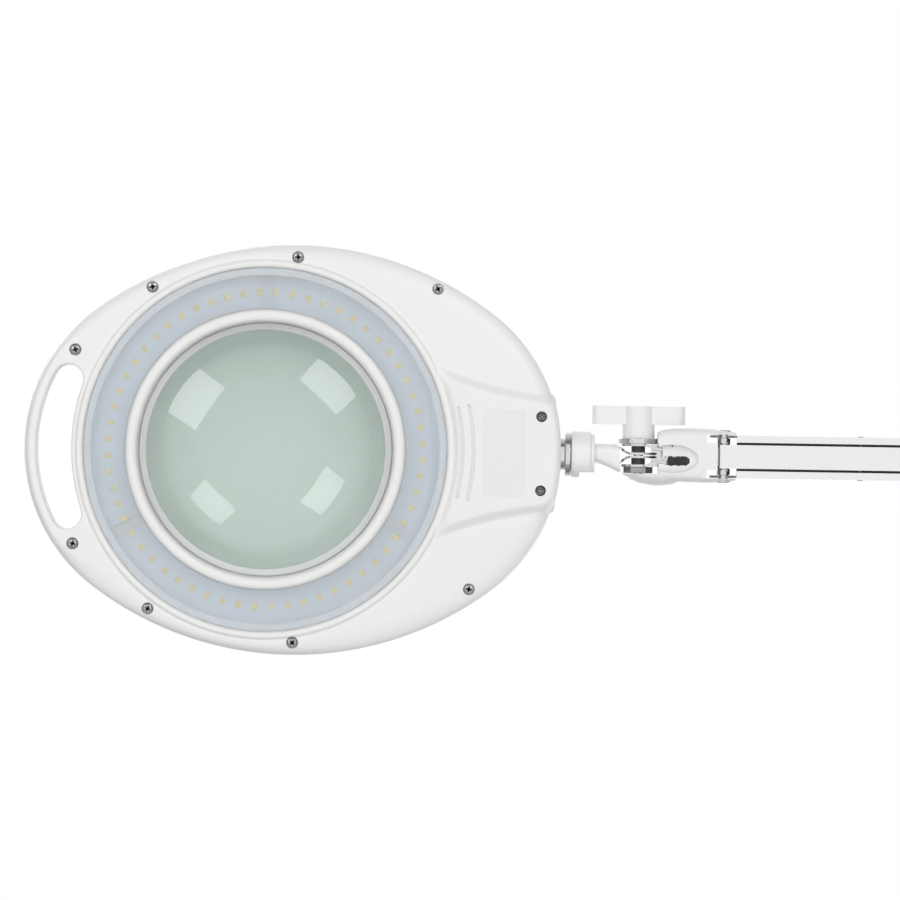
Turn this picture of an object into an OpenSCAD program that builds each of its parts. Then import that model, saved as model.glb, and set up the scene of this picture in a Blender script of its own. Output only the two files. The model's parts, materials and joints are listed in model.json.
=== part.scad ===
// Magnifying lamp with a ring of LEDs round a large lens, on a parallelogram arm
// that clamps to a table. Millimetres, +Z up, origin on the table top under the
// clamp's upper jaw. The forearm reaches along -X and the LEDs shine down.

/* [Lens] */
// Diameter of the magnifying lens
lens_d = 127; // [126:0.5:128]
// Radius of curvature of the lens face towards the LEDs' side
lens_front = 160; // [150:1:200]
// Radius of curvature of the lens face towards the eye
lens_back = 320; // [280:1:400]
// Thickness of the lens at its rim
lens_rim = 3; // [2.6:0.2:3.4]

/* [Head] */
// Length of the head, from the hand slot to the neck
head_l = 273; // [271:1:275]
// Width of the head
head_w = 208.6; // [207:0.2:210]
// Radius of the two end arcs of the head's outline
head_end_r = 88; // [86:1:90]
// Distance from the lens centre to the middle of the head
head_shift = 14; // [13.5:0.5:14.5]
// Height of the lower shell, on the LED side
lower_h = 20; // [19.5:0.5:21]
// Height of the upper shell, on the eye side
upper_h = 18; // [17.5:0.5:19]
// Wall thickness of the moulded shells
wall = 2.4; // [2:0.2:2.6]
// Number of LEDs on the ring
led_count = 60; // [45:3:75]

/* [Arm] */
// Distance between the pivots at the two ends of each arm
arm_len = 360; // [300:10:420]
// Width of the outer channel
arm_w = 21.7; // [21:0.1:22]
// Distance between the outer and inner channel's pivots
pivot_gap = 12; // [11.8:0.1:12.2]
// Sheet thickness of the channels
sheet = 1.2; // [1:0.1:1.4]

/* [Clamp] */
// Height of the clamp's mouth, with the pressure pad left out
mouth_h = 76; // [70:1:90]
// Width of the clamp
clamp_w = 44; // [40:1:50]
// Radius of the swivel post
post_r = 6.35; // [6:0.05:6.5]

/* [Hidden] */
$fn = 96;

white = [0.93, 0.93, 0.92];
fit = 0.05;                              // radial clearance of a running fit
gap = 0.3;                               // clearance between parts that pass
far = 200;                               // longer than anything that it cuts

half_l = head_l / 2;
half_w = head_w / 2;
blend = 0.02;                            // step that lets tangent shapes cross cleanly
slim = half_l - half_w;
end_x = half_l - head_end_r;
side_y = round(100 * slim * (end_x - slim / 2) / (end_x - slim)) / 100;
side_r = half_w + side_y;
meet = atan2(side_y, end_x);             // direction where the arcs meet
lower_edge = 6;                          // fillet along the lower shell
upper_edge = 8;                          // fillet along the upper shell

// Rings round the lens, by radius from the lens axis
lens_r = lens_d / 2;
seat_r = lens_r + 0.8;
bezel_r = 71.4;
cover_r = 92.4;
lip_r = 96.6;
trough_top = -8;                         // roof of the LED trough
led_r = 80;

// Hand slot: a crescent between the end arc and a circle round the lens
slot_rim = 6;
slot_inner = 98.4;
slot_end = 7.8;
slot_far = head_end_r - slot_rim;
slot_mid = head_shift - end_x;           // centre of the end arc
slot_a = slot_inner + slot_end;
slot_b = slot_far - slot_end;
slot_cx = (slot_a * slot_a - slot_b * slot_b + slot_mid * slot_mid) / (2 * slot_mid);
slot_cy = sqrt(slot_a * slot_a - slot_cx * slot_cx);

// Driver bay, raised towards the neck
bay_h = 3.2;
bay_flare = 185.6;
bay_flare_x = 160;
bay_flare_y = 213;

// Places of the screws that hold the two shells, from the lens centre
screw_at = [
  [15.3, -98], [15.3, 98], [-58.5, -81.8], [-58.5, 81.8],
  [-97.2, -49.3], [-97.2, 49.3], [86.7, -83], [104.7, 69.5]
];
bay_screw_at = [[140.3, -18.8], [140.3, 18.8]];

// Lid over the lens, hinged at the +Y side
lid_r = 73;
lid_t = 3;
lid_z = upper_h + 0.6;
hinge_y = 78;
hinge_z = lid_z + 3;

// Heights and places along the arm
pivot_r = 2.5;
half_gap = pivot_gap / 2;
web_z = half_gap + 7;                    // outside of the outer channel's web
lip_z = -half_gap - 6.5;                 // bottom of the outer channel
lip_in = 7.25;                           // half width between the lips
link_hw = 6;                             // half width of the inner channel
link_z = -half_gap - 6;
link_top = -half_gap + 3.5;
ear_r = 7;
front_cut = 6.5;                         // open length at the forearm's front
rear_cut = 16.5;                         // open length at every other end
jaw_in = arm_w / 2 + 0.4;
jaw_out = 13.7;
base_z = 72;                             // lower arm's bottom pivots
elbow_z = base_z + arm_len;
elbow_dx = 26;
elbow_dz = 34;
arm_z = elbow_z + elbow_dz;              // centre line of the forearm
wrist_dx = 43.5;                         // knob axis to the forearm's pivots
wrist_x = -elbow_dx - arm_len;
knob_x = wrist_x - wrist_dx;
head_dx = 190;                           // lens centre to the knob axis
lens_x = knob_x - head_dx;

// Hinge stack on the knob axis, as distances from the middle plane
tongue_y = 1.4;
plate_in = 4.7;
plate_out = 5.9;
bolt_r = 2.5;

// Clamp
jaw_t = 9;
pad_t = 1.5;
spine_x = 34;
spine_t = 12;
screw_x = -2;
pad_z = -52;                             // top of the pressure pad at rest
screw_r = 5;
screw_len = 96;

// ---- Shapes used more than once ----

module rounded(x0, x1, y0, y1, r) {
  translate([x0 + r, y0]) square([x1 - x0 - 2 * r, y1 - y0]);
  translate([x0, y0 + r]) square([x1 - x0, y1 - y0 - 2 * r]);
  for (x = [x0 + r, x1 - r], y = [y0 + r, y1 - r]) translate([x, y]) circle(r);
}

module capsule(a, b, r) {
  turn = atan2(b[1] - a[1], b[0] - a[0]);
  translate(a) circle(r);
  translate(b) circle(r);
  translate(a) rotate(turn) translate([0, blend - r]) square([norm(b - a), 2 * (r - blend)]);
}

// A slab drawn in X and Z, between two places along Y
module slab(y0, y1) {
  translate([0, y1, 0]) rotate([90, 0, 0]) linear_extrude(y1 - y0) children();
}

module rod_y(x, z, r, y0, y1) {
  translate([x, y1, z]) rotate([90, 0, 0]) cylinder(r = r, h = y1 - y0, $fn = 48);
}

module rod_x(y, z, r, x0, x1) {
  translate([x0, y, z]) rotate([0, 90, 0]) cylinder(r = r, h = x1 - x0, $fn = 48);
}

module tube(r_in, r_out, z0, z1) {
  translate([0, 0, z0]) difference() {
    cylinder(r = r_out, h = z1 - z0);
    translate([0, 0, -1]) cylinder(r = r_in, h = z1 - z0 + 2);
  }
}

module edge_profile(r, h, e) {
  square([r - e, h]);
  square([r, h - e]);
  translate([r - e, h - e]) circle(e, $fn = 48);
}

// The head's outline, drawn in by inset: two end arcs and two side arcs
module outline(inset) {
  meet_x = end_x + (head_end_r - inset) * cos(meet);
  translate([head_shift, 0]) {
    for (s = [-1, 1]) translate([s * end_x, 0]) circle(head_end_r - inset, $fn = 180);
    intersection() {
      translate([0, side_y]) circle(side_r - inset - blend, $fn = 240);
      translate([0, -side_y]) circle(side_r - inset - blend, $fn = 240);
      translate([-meet_x, -half_w]) square([2 * meet_x, head_w]);
    }
  }
}

// The outline as a solid with its top edge rounded in steps of 30 degrees
module oval(inset, h, e) {
  for (a = [0:30:90]) linear_extrude(h - e + e * sin(a)) outline(inset + e * (1 - cos(a)));
}

// The hand slot's outline, grown by a wall
module slot_outline(grow) {
  c = [slot_cx, slot_cy];
  e = [slot_mid, 0];
  tip = slot_end + grow;
  on_far = c + tip * (c - e) / norm(c - e);
  on_near = c - tip * c / norm(c);
  for (s = [-1, 1]) translate([slot_cx, s * slot_cy]) circle(tip + blend);
  intersection() {
    difference() {
      translate(e) circle(slot_far + grow, $fn = 180);
      circle(slot_inner - grow, $fn = 180);
    }
    polygon([
      [-far, on_far[1]], on_far, c, on_near, [-lens_r, on_near[1]],
      [-lens_r, -on_near[1]], [on_near[0], -on_near[1]], [c[0], -c[1]],
      [on_far[0], -on_far[1]], [-far, -on_far[1]]
    ]);
  }
}

module on_head() translate([lens_x, 0, arm_z]) children();
module on_knob() translate([knob_x, 0, arm_z]) children();
module on_forearm() translate([wrist_x, 0, arm_z]) children();
module on_elbow() translate([0, 0, elbow_z]) children();
module on_lower_arm() on_elbow() rotate([0, 90, 0]) children();
module on_base() translate([0, 0, base_z]) children();

// ---- Head ----

module bay(inset, z0, z1) {
  difference() {
    intersection() {
      mirror([0, 0, 1]) oval(inset, -z0, 4 - inset / 2);
      translate([lens_r, -half_w, z0 - 1]) cube([far, head_w, z1 - z0 + 1]);
    }
    translate([0, 0, z0 - 1]) cylinder(r = lip_r - 0.6 + inset, h = far);
    for (s = [-1, 1]) translate([bay_flare_x, s * bay_flare_y, z0 - 1])
      cylinder(r = bay_flare + inset, h = far, $fn = 240);
  }
}

module screw_recesses() {
  for (p = screw_at) translate([p[0], p[1], -lower_h - 1]) {
    cylinder(r = 3.1, h = 3.4, $fn = 40);
    cylinder(r = 1.7, h = lower_h + 2, $fn = 32);
  }
  for (p = bay_screw_at) translate([p[0], p[1], -lower_h - bay_h - 1]) {
    cylinder(r = 2.7, h = 9, $fn = 40);
    cylinder(r = 1.7, h = lower_h + bay_h + 2, $fn = 32);
  }
}

module vents() {
  for (r = [100.5, 106]) rotate([0, 0, -13])
    rotate_extrude(angle = 26, $fn = 180) translate([r - 0.9, -lower_h - bay_h - 1])
      square([1.8, bay_h + wall + 2]);
}

// The trough that holds the LED ring and, on its inner wall, the lens and bezel
module led_trough() {
  rotate_extrude($fn = 180) {
    translate([cover_r + 0.2, -lower_h]) square([1.9, lower_h + trough_top + 1.4]);
    translate([cover_r + 0.2, -lower_h - 1.5]) square([lip_r - cover_r - 0.2, 3.4]);
    translate([68.2, trough_top]) square([cover_r - 66, 1.4]);
    translate([67.6, -17]) square([1.4, 17 + trough_top + 1.4]);
  }
}

module lower_housing() {
  posts = concat(screw_at, bay_screw_at);
  color(white) on_head() difference() {
    union() {
      difference() {
        union() {
          mirror([0, 0, 1]) oval(0, lower_h, lower_edge);
          bay(0, -lower_h - bay_h, -lower_h + 2);
        }
        translate([0, 0, 1]) mirror([0, 0, 1])
          oval(wall, lower_h - wall + 1, lower_edge - wall);
        translate([0, 0, -0.5]) bay(wall, -lower_h - bay_h + wall, -lower_h + 3);
        translate([0, 0, -far / 2]) cylinder(r = cover_r + 1, h = far, $fn = 180);
      }
      intersection() {
        mirror([0, 0, 1]) oval(0, lower_h, lower_edge);
        union() {
          translate([0, 0, -lower_h]) linear_extrude(lower_h) slot_outline(2);
          for (p = posts) translate([p[0], p[1], -lower_h]) cylinder(r = 4.2, h = lower_h);
        }
      }
      led_trough();
    }
    translate([0, 0, -lower_h - 5]) linear_extrude(lower_h + 10) slot_outline(0);
    screw_recesses();
    vents();
    rod_x(0, 0, 8 + fit, 100, far);
  }
}

// The well above the lens, with the flange that joins it to the upper shell
module lens_well() {
  rotate_extrude($fn = 180) {
    translate([seat_r, lens_rim / 2 + 2]) square([wall, upper_h - lens_rim / 2 - 2]);
    translate([seat_r, upper_h - wall]) square([bezel_r + 0.6 - seat_r, wall]);
  }
}

module upper_housing() {
  posts = concat(screw_at, bay_screw_at);
  color(white) on_head() difference() {
    union() {
      difference() {
        oval(0, upper_h, upper_edge);
        translate([0, 0, -1]) oval(wall, upper_h - wall + 1, upper_edge - wall);
        translate([0, 0, -1]) cylinder(r = bezel_r, h = far, $fn = 180);
      }
      lens_well();
      intersection() {
        oval(0, upper_h, upper_edge);
        union() {
          linear_extrude(upper_h) slot_outline(2);
          for (p = posts) translate([p[0], p[1], 0]) cylinder(r = 3.8, h = upper_h - 1);
          translate([134, -10, 0]) cube([14, 20, upper_h - 1]);
        }
      }
      for (x = [-14, 14]) rod_x_lug(x - 5, x + 5);
    }
    translate([0, 0, -5]) linear_extrude(upper_h + 10) slot_outline(0);
    for (p = posts) translate([p[0], p[1], -1]) cylinder(r = 1.4, h = 13, $fn = 32);
    rod_x(hinge_y, hinge_z, 1.5 + fit, -30, 30);
    rod_x(0, 0, 8 + fit, 100, far);
    translate([104, -9, upper_h - 4]) cube([22, 18, 8]);
  }
}

// A hinge lug of the lid's pin, standing on the upper shell
module rod_x_lug(x0, x1) {
  rod_x(hinge_y, hinge_z, 3.2, x0, x1);
  translate([x0, hinge_y - 3.2, upper_h - 1]) cube([x1 - x0, 6.4, hinge_z - upper_h + 1]);
}

module lens() {
  front_z = sqrt(lens_front * lens_front - lens_r * lens_r) - lens_rim / 2;
  back_z = sqrt(lens_back * lens_back - lens_r * lens_r) - lens_rim / 2;
  color([0.72, 0.84, 0.79, 0.5]) on_head() intersection() {
    translate([0, 0, front_z]) sphere(lens_front, $fn = 240);
    translate([0, 0, -back_z]) sphere(lens_back, $fn = 240);
    cylinder(r = lens_r, h = 40, center = true);
  }
}

module lens_gasket() {
  color([0.8, 0.81, 0.8]) on_head() tube(lens_r - 2.5, lens_r + 0.9, -4.9, -2.9);
}

module lens_bezel() {
  color(white) on_head() rotate_extrude($fn = 180) polygon([
    [64.6, -3], [65.2, -16], [68.2, -21], [69.2, -21.6], [70.6, -21.6],
    [bezel_r, -20.6], [bezel_r, -18.8], [69.8, -18.2], [67.2, -16.8], [67.2, -3]
  ]);
}

module led_board() {
  color([0.86, 0.87, 0.86]) on_head() for (k = [0:2]) rotate([0, 0, 120 * k + 32])
    translate([0, 0, trough_top - 1.8]) rotate_extrude(angle = 116, $fn = 180)
      translate([71, 0]) square([20, 1.6]);
}

module led_chips() {
  step = 360 / led_count;
  color([0.95, 0.85, 0.5]) on_head() for (k = [0:led_count - 1]) rotate([0, 0, step * (k + 0.5)])
    translate([led_r, 0, trough_top - 2.3]) cube([3.5, 2.8, 1], center = true);
}

module led_cover() {
  color([0.82, 0.85, 0.88, 0.7]) on_head() tube(bezel_r + 0.3, cover_r, -20.2, -19);
}

module cross_screw(head_r, head_h, shank_r, length) {
  difference() {
    union() {
      cylinder(r = head_r, h = head_h, $fn = 40);
      cylinder(r = shank_r, h = length, $fn = 32);
    }
    for (turn = [0, 90]) rotate([0, 0, turn])
      translate([-1.6, -0.35, -1]) cube([3.2, 0.7, 2.2]);
  }
}

module housing_screws() {
  color("silver") on_head() for (p = screw_at)
    translate([p[0], p[1], -lower_h + 0.5]) cross_screw(2.8, 1.8, 1.35, lower_h + 10);
}

module bay_screws() {
  color("silver") on_head() for (p = bay_screw_at)
    translate([p[0], p[1], -lower_h + 3]) cross_screw(2.4, 1.6, 1.35, lower_h + 7);
}

module driver_board() {
  color([0.2, 0.42, 0.28]) on_head() translate([99, -14, -13.6]) cube([32, 28, 1.6]);
}

module driver_parts() {
  color([0.25, 0.25, 0.27]) on_head() {
    translate([106, -6, -12]) cylinder(r = 4, h = 7, $fn = 40);
    translate([112, 1, -12]) cube([14, 11, 4.6]);
    translate([114, -12, -12]) cube([12, 8, 3]);
    translate([102, 5, -12]) cube([6, 6, 2.4]);
  }
}

module rocker_frame() {
  color([0.16, 0.16, 0.17]) on_head() difference() {
    union() {
      translate([104.3, -8.7, upper_h - 3.7]) cube([21.4, 17.4, 3.7]);
      translate([102.5, -10.5, upper_h]) cube([25, 21, 1.6]);
    }
    translate([106, -7, upper_h - 5]) cube([18, 14, 12]);
  }
}

module power_rocker() {
  color([0.12, 0.12, 0.13]) on_head() translate([115, 0, upper_h - 1.6]) rotate([0, -5, 0])
    difference() {
      union() {
        translate([-8, -6.4, -1]) cube([16, 12.8, 5.4]);
        rod_y(0, 0, 2.2, -6.4, 6.4);
      }
      rod_y(0, 20, 16.6, -7, 7);
    }
}

module blank_label() {
  color([0.8, 0.8, 0.8]) on_head()
    translate([111, -22, -lower_h - bay_h - 0.15]) cube([21, 44, 0.15]);
}

module neck_tube() {
  color("silver") on_head() difference() {
    union() {
      rod_x(0, 0, 8, 127, head_dx - 25);
      rod_x(0, 0, 11, head_dx - 37.3, head_dx - 34.5);
    }
    rod_x(0, 0, 5.5, 120, far);
  }
}

module neck_nut() {
  color("silver") on_head() translate([129, 0, 0]) rotate([0, 90, 0]) difference() {
    cylinder(r = 11, h = 4, $fn = 6);
    translate([0, 0, -1]) cylinder(r = 8, h = 6);
  }
}

module lens_lid() {
  color(white) on_head() difference() {
    union() {
      translate([0, 0, lid_z]) cylinder(r = lid_r, h = lid_t, $fn = 180);
      translate([0, 0, lid_z + lid_t]) cylinder(r = lid_r - 9, h = 1, $fn = 180);
      translate([-11, -lid_r - 5, lid_z]) cube([22, 12, lid_t]);
      translate([-8.7, lid_r - 8, lid_z]) cube([17.4, hinge_y - lid_r + 8, lid_t]);
      rod_x(hinge_y, hinge_z, 3, -8.7, 8.7);
    }
    translate([0, 0, lid_z - 1]) cylinder(r = lid_r - 3, h = lid_t - 0.4, $fn = 180);
    rod_x(hinge_y, hinge_z, 1.5 + fit, -30, 30);
  }
}

module lid_pin() {
  color("silver") on_head() rod_x(hinge_y, hinge_z, 1.5, -19.4, 19.4);
}

// ---- Knuckle between the head and the arm ----

module knuckle_collar() {
  color(white) on_knob() difference() {
    union() {
      rod_x(0, 0, 11.65, -34.2, -24);
      rod_x(0, 0, 10.3, -24.5, -22.3);
      slab(-5.4, 5.4) capsule([-24, 0], [-17.5, 0], 7);
    }
    rod_x(0, 0, 8 + fit, -40, -24.9);
    translate([-23.6, -tongue_y, -6]) cube([20, 2 * tongue_y, 12]);
    rod_y(0, 0, 11.2, -far, far);
  }
}

module knuckle_tongue() {
  color("silver") on_knob() difference() {
    union() {
      rod_y(0, 0, 9.5, -tongue_y, tongue_y);
      translate([-23.5, -tongue_y, -5.9]) cube([18, 2 * tongue_y, 11.8]);
    }
    rod_y(0, 0, bolt_r + fit, -10, 10);
  }
}

module tilt_bushes() {
  color([0.25, 0.26, 0.28]) on_knob() for (s = [-1, 1])
    scale([1, s, 1]) difference() {
      rod_y(0, 0, 3.5, tongue_y + 0.05, plate_in - 0.05);
      rod_y(0, 0, bolt_r + fit, 0, 10);
    }
}

module tilt_bolt() {
  color("silver") on_knob() {
    rod_y(0, 0, bolt_r, -14.5, 9);
    rod_y(0, 0, 4.4, 10.5, 12.3);
    rod_y(0, 0, bolt_r, 8, 11);
  }
}

module tilt_washer() {
  color("silver") on_knob() difference() {
    rod_y(0, 0, 10.2, -8.6, -plate_out);
    rod_y(0, 0, bolt_r + fit, -10, 10);
  }
}

module tilt_nut() {
  color([0.3, 0.3, 0.31]) on_knob() translate([0, plate_out, 0]) rotate([-90, 0, 0])
    difference() {
      cylinder(r = 7.5, h = 3.2, $fn = 6);
      translate([0, 0, -1]) cylinder(r = bolt_r, h = 6, $fn = 48);
    }
}

module tilt_knob() {
  color(white) on_knob() difference() {
    union() {
      rod_y(0, 0, 8.2, -15.8, -8.7);
      slab(-25, -15.6) {
        capsule([-19.2, 0], [19.2, 0], 4.5);
        circle(8);
      }
    }
    rod_y(0, 0, bolt_r + fit, -14.6, 0);
  }
}

module hinge_fork() {
  color("silver") on_knob() difference() {
    union() {
      for (s = [-1, 1]) slab(s * (plate_in + plate_out) / 2 - 0.6, s * (plate_in + plate_out) / 2 + 0.6)
        capsule([0, 0], [17, 0], 8.5);
      translate([22, -plate_out, -8]) cube([1.5, 2 * plate_out, 16]);
    }
    rod_y(0, 0, bolt_r + fit, -10, 10);
  }
}

module wrist_cap() {
  color(white) on_knob() difference() {
    union() {
      intersection() {
        translate([0, 0, -14]) linear_extrude(28) rounded(12, wrist_dx + 6.5, -jaw_out, jaw_out, 3);
        slab(-far, far) rounded(12, wrist_dx + 6.5, -14, 14, 5);
      }
      intersection() {
        translate([5.5, 9.4, 0]) rotate([-90, 0, 0]) rotate_extrude($fn = 120)
          edge_profile(19.2, 6.1, 4);
        cube([far, far, 28], center = true);
      }
      translate([10, 9.4, -12]) cube([12, 4, 24]);
    }
    translate([33, -jaw_in, -far / 2]) cube([far, 2 * jaw_in, far]);
    translate([-10, -plate_out - gap, -8.8]) cube([36.2, 2 * plate_out + 2 * gap, 17.6]);
    translate([14.5, -5.5, -13]) cube([12, 11, 12]);
    for (s = [-1, 1]) intersection() {
      translate([20.5, 2.6, -15]) cylinder(r = 8.1, h = 8);
      translate([20.5, -2.6, -15]) cylinder(r = 8.1, h = 8);
    }
    rod_y(0, 0, 11, 0, 10.2);
    rod_y(0, 0, 5, 0, 13);
    for (z = [-half_gap, half_gap]) rod_y(wrist_dx, z, pivot_r, -far, far);
    rod_x(0, 0, 4, 20, 40);
  }
}

module cable_sleeve() {
  color([0.12, 0.12, 0.13]) on_knob() translate([15, 2.7, -10]) rotate([0, 90, 0])
    rotate_extrude($fn = 48) {
      square([2, 11]);
      for (k = [0:2]) translate([0, 1 + 3.8 * k]) square([2.6, 1.4]);
    }
}

// ---- Pivots, shared by the wrist, the elbow and the base ----

module pivot_pin(x, z) {
  rod_y(x, z, pivot_r, -jaw_out - 0.4, jaw_out + 0.4);
  for (s = [-1, 1]) scale([1, s, 1]) rod_y(x, z, 3.6, jaw_out, jaw_out + 1.2);
}

module sleeve(x, z, r, y0, y1) {
  difference() {
    rod_y(x, z, r, y0, y1);
    rod_y(x, z, pivot_r + fit, y0 - 1, y1 + 1);
  }
}

// One wide sleeve inside the outer channel, two narrow ones beside the inner one
module sleeve_set(x0, z0, x1, z1) {
  wide = arm_w / 2 - sheet - gap;
  sleeve(x0, z0, 3.2, -wide, wide);
  sleeve(x1, z1, 3.2, link_hw + gap, wide);
  sleeve(x1, z1, 3.2, -wide, -link_hw - gap);
}

// ---- The two channels of an arm, drawn from their front pivots along +X ----

module arm_flange(cut_front, cut_rear) {
  translate([0, half_gap]) circle(ear_r);
  translate([arm_len, half_gap]) circle(ear_r);
  translate([0, half_gap - 5]) square([arm_len, web_z - half_gap + 5]);
  translate([cut_front, lip_z]) square([arm_len - cut_front - cut_rear, web_z - lip_z]);
}

module outer_channel(cut_front) {
  side = arm_w / 2;
  reach = pivot_gap + pivot_r + gap + 0.4;
  difference() {
    union() {
      for (s = [-1, 1]) scale([1, s, 1]) {
        slab(side - sheet, side) arm_flange(cut_front, rear_cut);
        translate([cut_front, lip_in, lip_z])
          cube([arm_len - cut_front - rear_cut, side - lip_in, sheet]);
      }
      translate([ear_r, -side, web_z - sheet]) cube([arm_len - 2 * ear_r, arm_w, sheet]);
    }
    for (x = [0, arm_len]) rod_y(x, half_gap, pivot_r + fit, -far, far);
    if (cut_front < reach) intersection() {
      difference() {
        rod_y(0, half_gap, reach, -far, far);
        rod_y(0, half_gap, pivot_gap - pivot_r - gap, -far, far);
      }
      translate([0, -far, lip_z + 1.4]) cube([13.4, 2 * far, half_gap - 4 - lip_z]);
    }
    rod_y(70, 5, 1.5, -far, far);
  }
}

module inner_channel() {
  difference() {
    union() {
      for (s = [-1, 1]) scale([1, s, 1]) slab(link_hw - sheet, link_hw) {
        for (x = [0, arm_len]) translate([x, -half_gap - 1.25]) circle(4.75);
        translate([0, link_z]) square([arm_len, link_top - link_z]);
      }
      translate([-2, -link_hw, link_z]) cube([arm_len + 4, 2 * link_hw, sheet]);
    }
    for (x = [0, arm_len]) rod_y(x, -half_gap, pivot_r + fit, -far, far);
    rod_y(arm_len - 60, -half_gap, 1.5, -far, far);
  }
}

// Tension spring between the outer channel's cross pin and the inner one's
module arm_spring() {
  a = [70, 5];
  b = [arm_len - 60, -half_gap];
  span = norm(b - a);
  lean = atan2(b[1] - a[1], b[0] - a[0]);
  translate([a[0], 0, a[1]]) rotate([0, -lean, 0]) {
    for (x = [0, span]) translate([x, 0, 0]) rotate([90, 0, 0])
      rotate_extrude($fn = 48) translate([2.6, 0]) circle(0.6, $fn = 24);
    for (x = [[2.4, 9], [span - 9, span - 2.4]]) rod_x(0, 0, 0.6, x[0], x[1]);
    difference() {
      rod_x(0, 0, 4, 8, span - 8);
      rod_x(0, 0, 2.8, 9, span - 9);
    }
  }
}

module outer_spring_pin() rod_y(70, 5, 1.5, -arm_w / 2 - 0.4, arm_w / 2 + 0.4);
module inner_spring_pin() {
  rod_y(arm_len - 60, -half_gap, 1.5, -link_hw - 0.4, link_hw + 0.4);
}

module wrist_pins() {
  color("silver") on_knob() for (z = [-half_gap, half_gap]) pivot_pin(wrist_dx, z);
}

module wrist_spacers() {
  color("silver") on_knob() sleeve_set(wrist_dx, half_gap, wrist_dx, -half_gap);
}

module forearm_channel() color(white) on_forearm() outer_channel(front_cut);
module forearm_link() color(white) on_forearm() inner_channel();
module forearm_spring() color("silver") on_forearm() arm_spring();
module forearm_spring_pin() color("silver") on_forearm() outer_spring_pin();
module forearm_link_pin() color("silver") on_forearm() inner_spring_pin();

// ---- Elbow ----

module elbow_plate(s) {
  color(white) on_elbow() difference() {
    scale([1, s, 1]) slab(jaw_in, jaw_out) capsule([0, 0], [-elbow_dx, elbow_dz], 14);
    elbow_bores(pivot_r);
    rod_y(-elbow_dx / 2, elbow_dz / 2, 2.5, -far, far);
  }
}

module elbow_bores(r) {
  for (s = [-1, 1]) {
    rod_y(s * half_gap, 0, r, -far, far);
    rod_y(-elbow_dx, elbow_dz + s * half_gap, r, -far, far);
  }
}

module elbow_plate_left() elbow_plate(-1);
module elbow_plate_right() elbow_plate(1);

module elbow_spacer() {
  color(white) on_elbow() {
    rod_y(-elbow_dx / 2, elbow_dz / 2, 6, -jaw_in, jaw_in);
    rod_y(-elbow_dx / 2, elbow_dz / 2, 2.5, -jaw_out, jaw_out);
  }
}

module elbow_pins() {
  color("silver") on_elbow() for (s = [-1, 1]) {
    pivot_pin(s * half_gap, 0);
    pivot_pin(-elbow_dx, elbow_dz + s * half_gap);
  }
}

module elbow_sleeves() {
  color("silver") on_elbow() {
    sleeve_set(half_gap, 0, -half_gap, 0);
    sleeve_set(-elbow_dx, elbow_dz + half_gap, -elbow_dx, elbow_dz - half_gap);
  }
}

module lower_arm_channel() color(white) on_lower_arm() outer_channel(rear_cut);
module lower_arm_link() color(white) on_lower_arm() inner_channel();
module lower_arm_spring() color("silver") on_lower_arm() arm_spring();
module lower_arm_spring_pin() color("silver") on_lower_arm() outer_spring_pin();
module lower_arm_link_pin() color("silver") on_lower_arm() inner_spring_pin();

// ---- Base ----

module base_fork() {
  color(white) on_base() difference() {
    intersection() {
      slab(-jaw_out, jaw_out) rounded(-15, 15, -36, 12, 6);
      rotate([90, 0, 90]) linear_extrude(60, center = true)
        rounded(-jaw_out, jaw_out, -36, 20, 3);
    }
    translate([-far / 2, -jaw_in, -22]) cube([far, 2 * jaw_in, far]);
    for (x = [-half_gap, half_gap]) rod_y(x, 0, pivot_r, -far, far);
    translate([0, 0, -far]) cylinder(r = post_r, h = far - 26, $fn = 48);
    rod_x(0, -29, 3.2, 9, far);
  }
}

module base_pins() {
  color("silver") on_base() for (x = [-half_gap, half_gap]) pivot_pin(x, 0);
}

module base_sleeves() {
  color("silver") on_base() sleeve_set(half_gap, 0, -half_gap, 0);
}

module swivel_post() {
  color("silver") translate([0, 0, jaw_t + 1]) cylinder(r = post_r, h = base_z - 26 - jaw_t - 1);
}

module cord_gland() {
  color([0.15, 0.15, 0.16]) on_base() difference() {
    union() {
      rod_x(0, -29, 3.2, 9, 15);
      rod_x(0, -29, 4.6, 15, 17);
      rod_x(0, -29, 3.4, 17, 25);
    }
    rod_x(0, -29, 2, 11, 30);
  }
}

module clamp_frame() {
  color([0.85, 0.85, 0.85]) difference() {
    union() {
      slab(-clamp_w / 2, clamp_w / 2) difference() {
        rounded(-32, spine_x + spine_t, -mouth_h - jaw_t, jaw_t, 5);
        rounded(-60, spine_x, -mouth_h, pad_t, 4);
      }
      translate([0, 0, jaw_t - 2]) cylinder(r = 13, h = 36 - jaw_t);
    }
    translate([0, 0, jaw_t]) cylinder(r = 8.6, h = far);
    translate([screw_x, 0, -far]) cylinder(r = screw_r + fit, h = far - 20);
    rod_x(0, 24, 2, 0, far);
  }
}

module jaw_pad() {
  color([0.15, 0.15, 0.15]) translate([-30, -20, 0]) cube([58, 40, pad_t]);
}

module post_bush() {
  color([0.9, 0.9, 0.88]) difference() {
    union() {
      tube(post_r + fit, 8.6, jaw_t, 34);
      tube(post_r + fit, 11, 34, 35.4);
    }
    rod_x(0, 24, 2, 0, far);
  }
}

module post_screw() {
  color("silver") {
    rod_x(0, 24, 2, post_r + 0.3, 18);
    rod_x(0, 24, 7, 16, 22);
  }
}

module pressure_pad() {
  color("silver") translate([screw_x, 0, pad_z]) difference() {
    union() {
      translate([0, 0, -6]) cylinder(r = 16, h = 4);
      translate([0, 0, -13]) cylinder(r = 8, h = 8);
    }
    translate([0, 0, -14]) cylinder(r = 3.5 + fit, h = 9, $fn = 48);
  }
}

module pad_rubber() {
  color([0.15, 0.15, 0.15]) translate([screw_x, 0, pad_z - 2]) cylinder(r = 16, h = 2);
}

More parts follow.
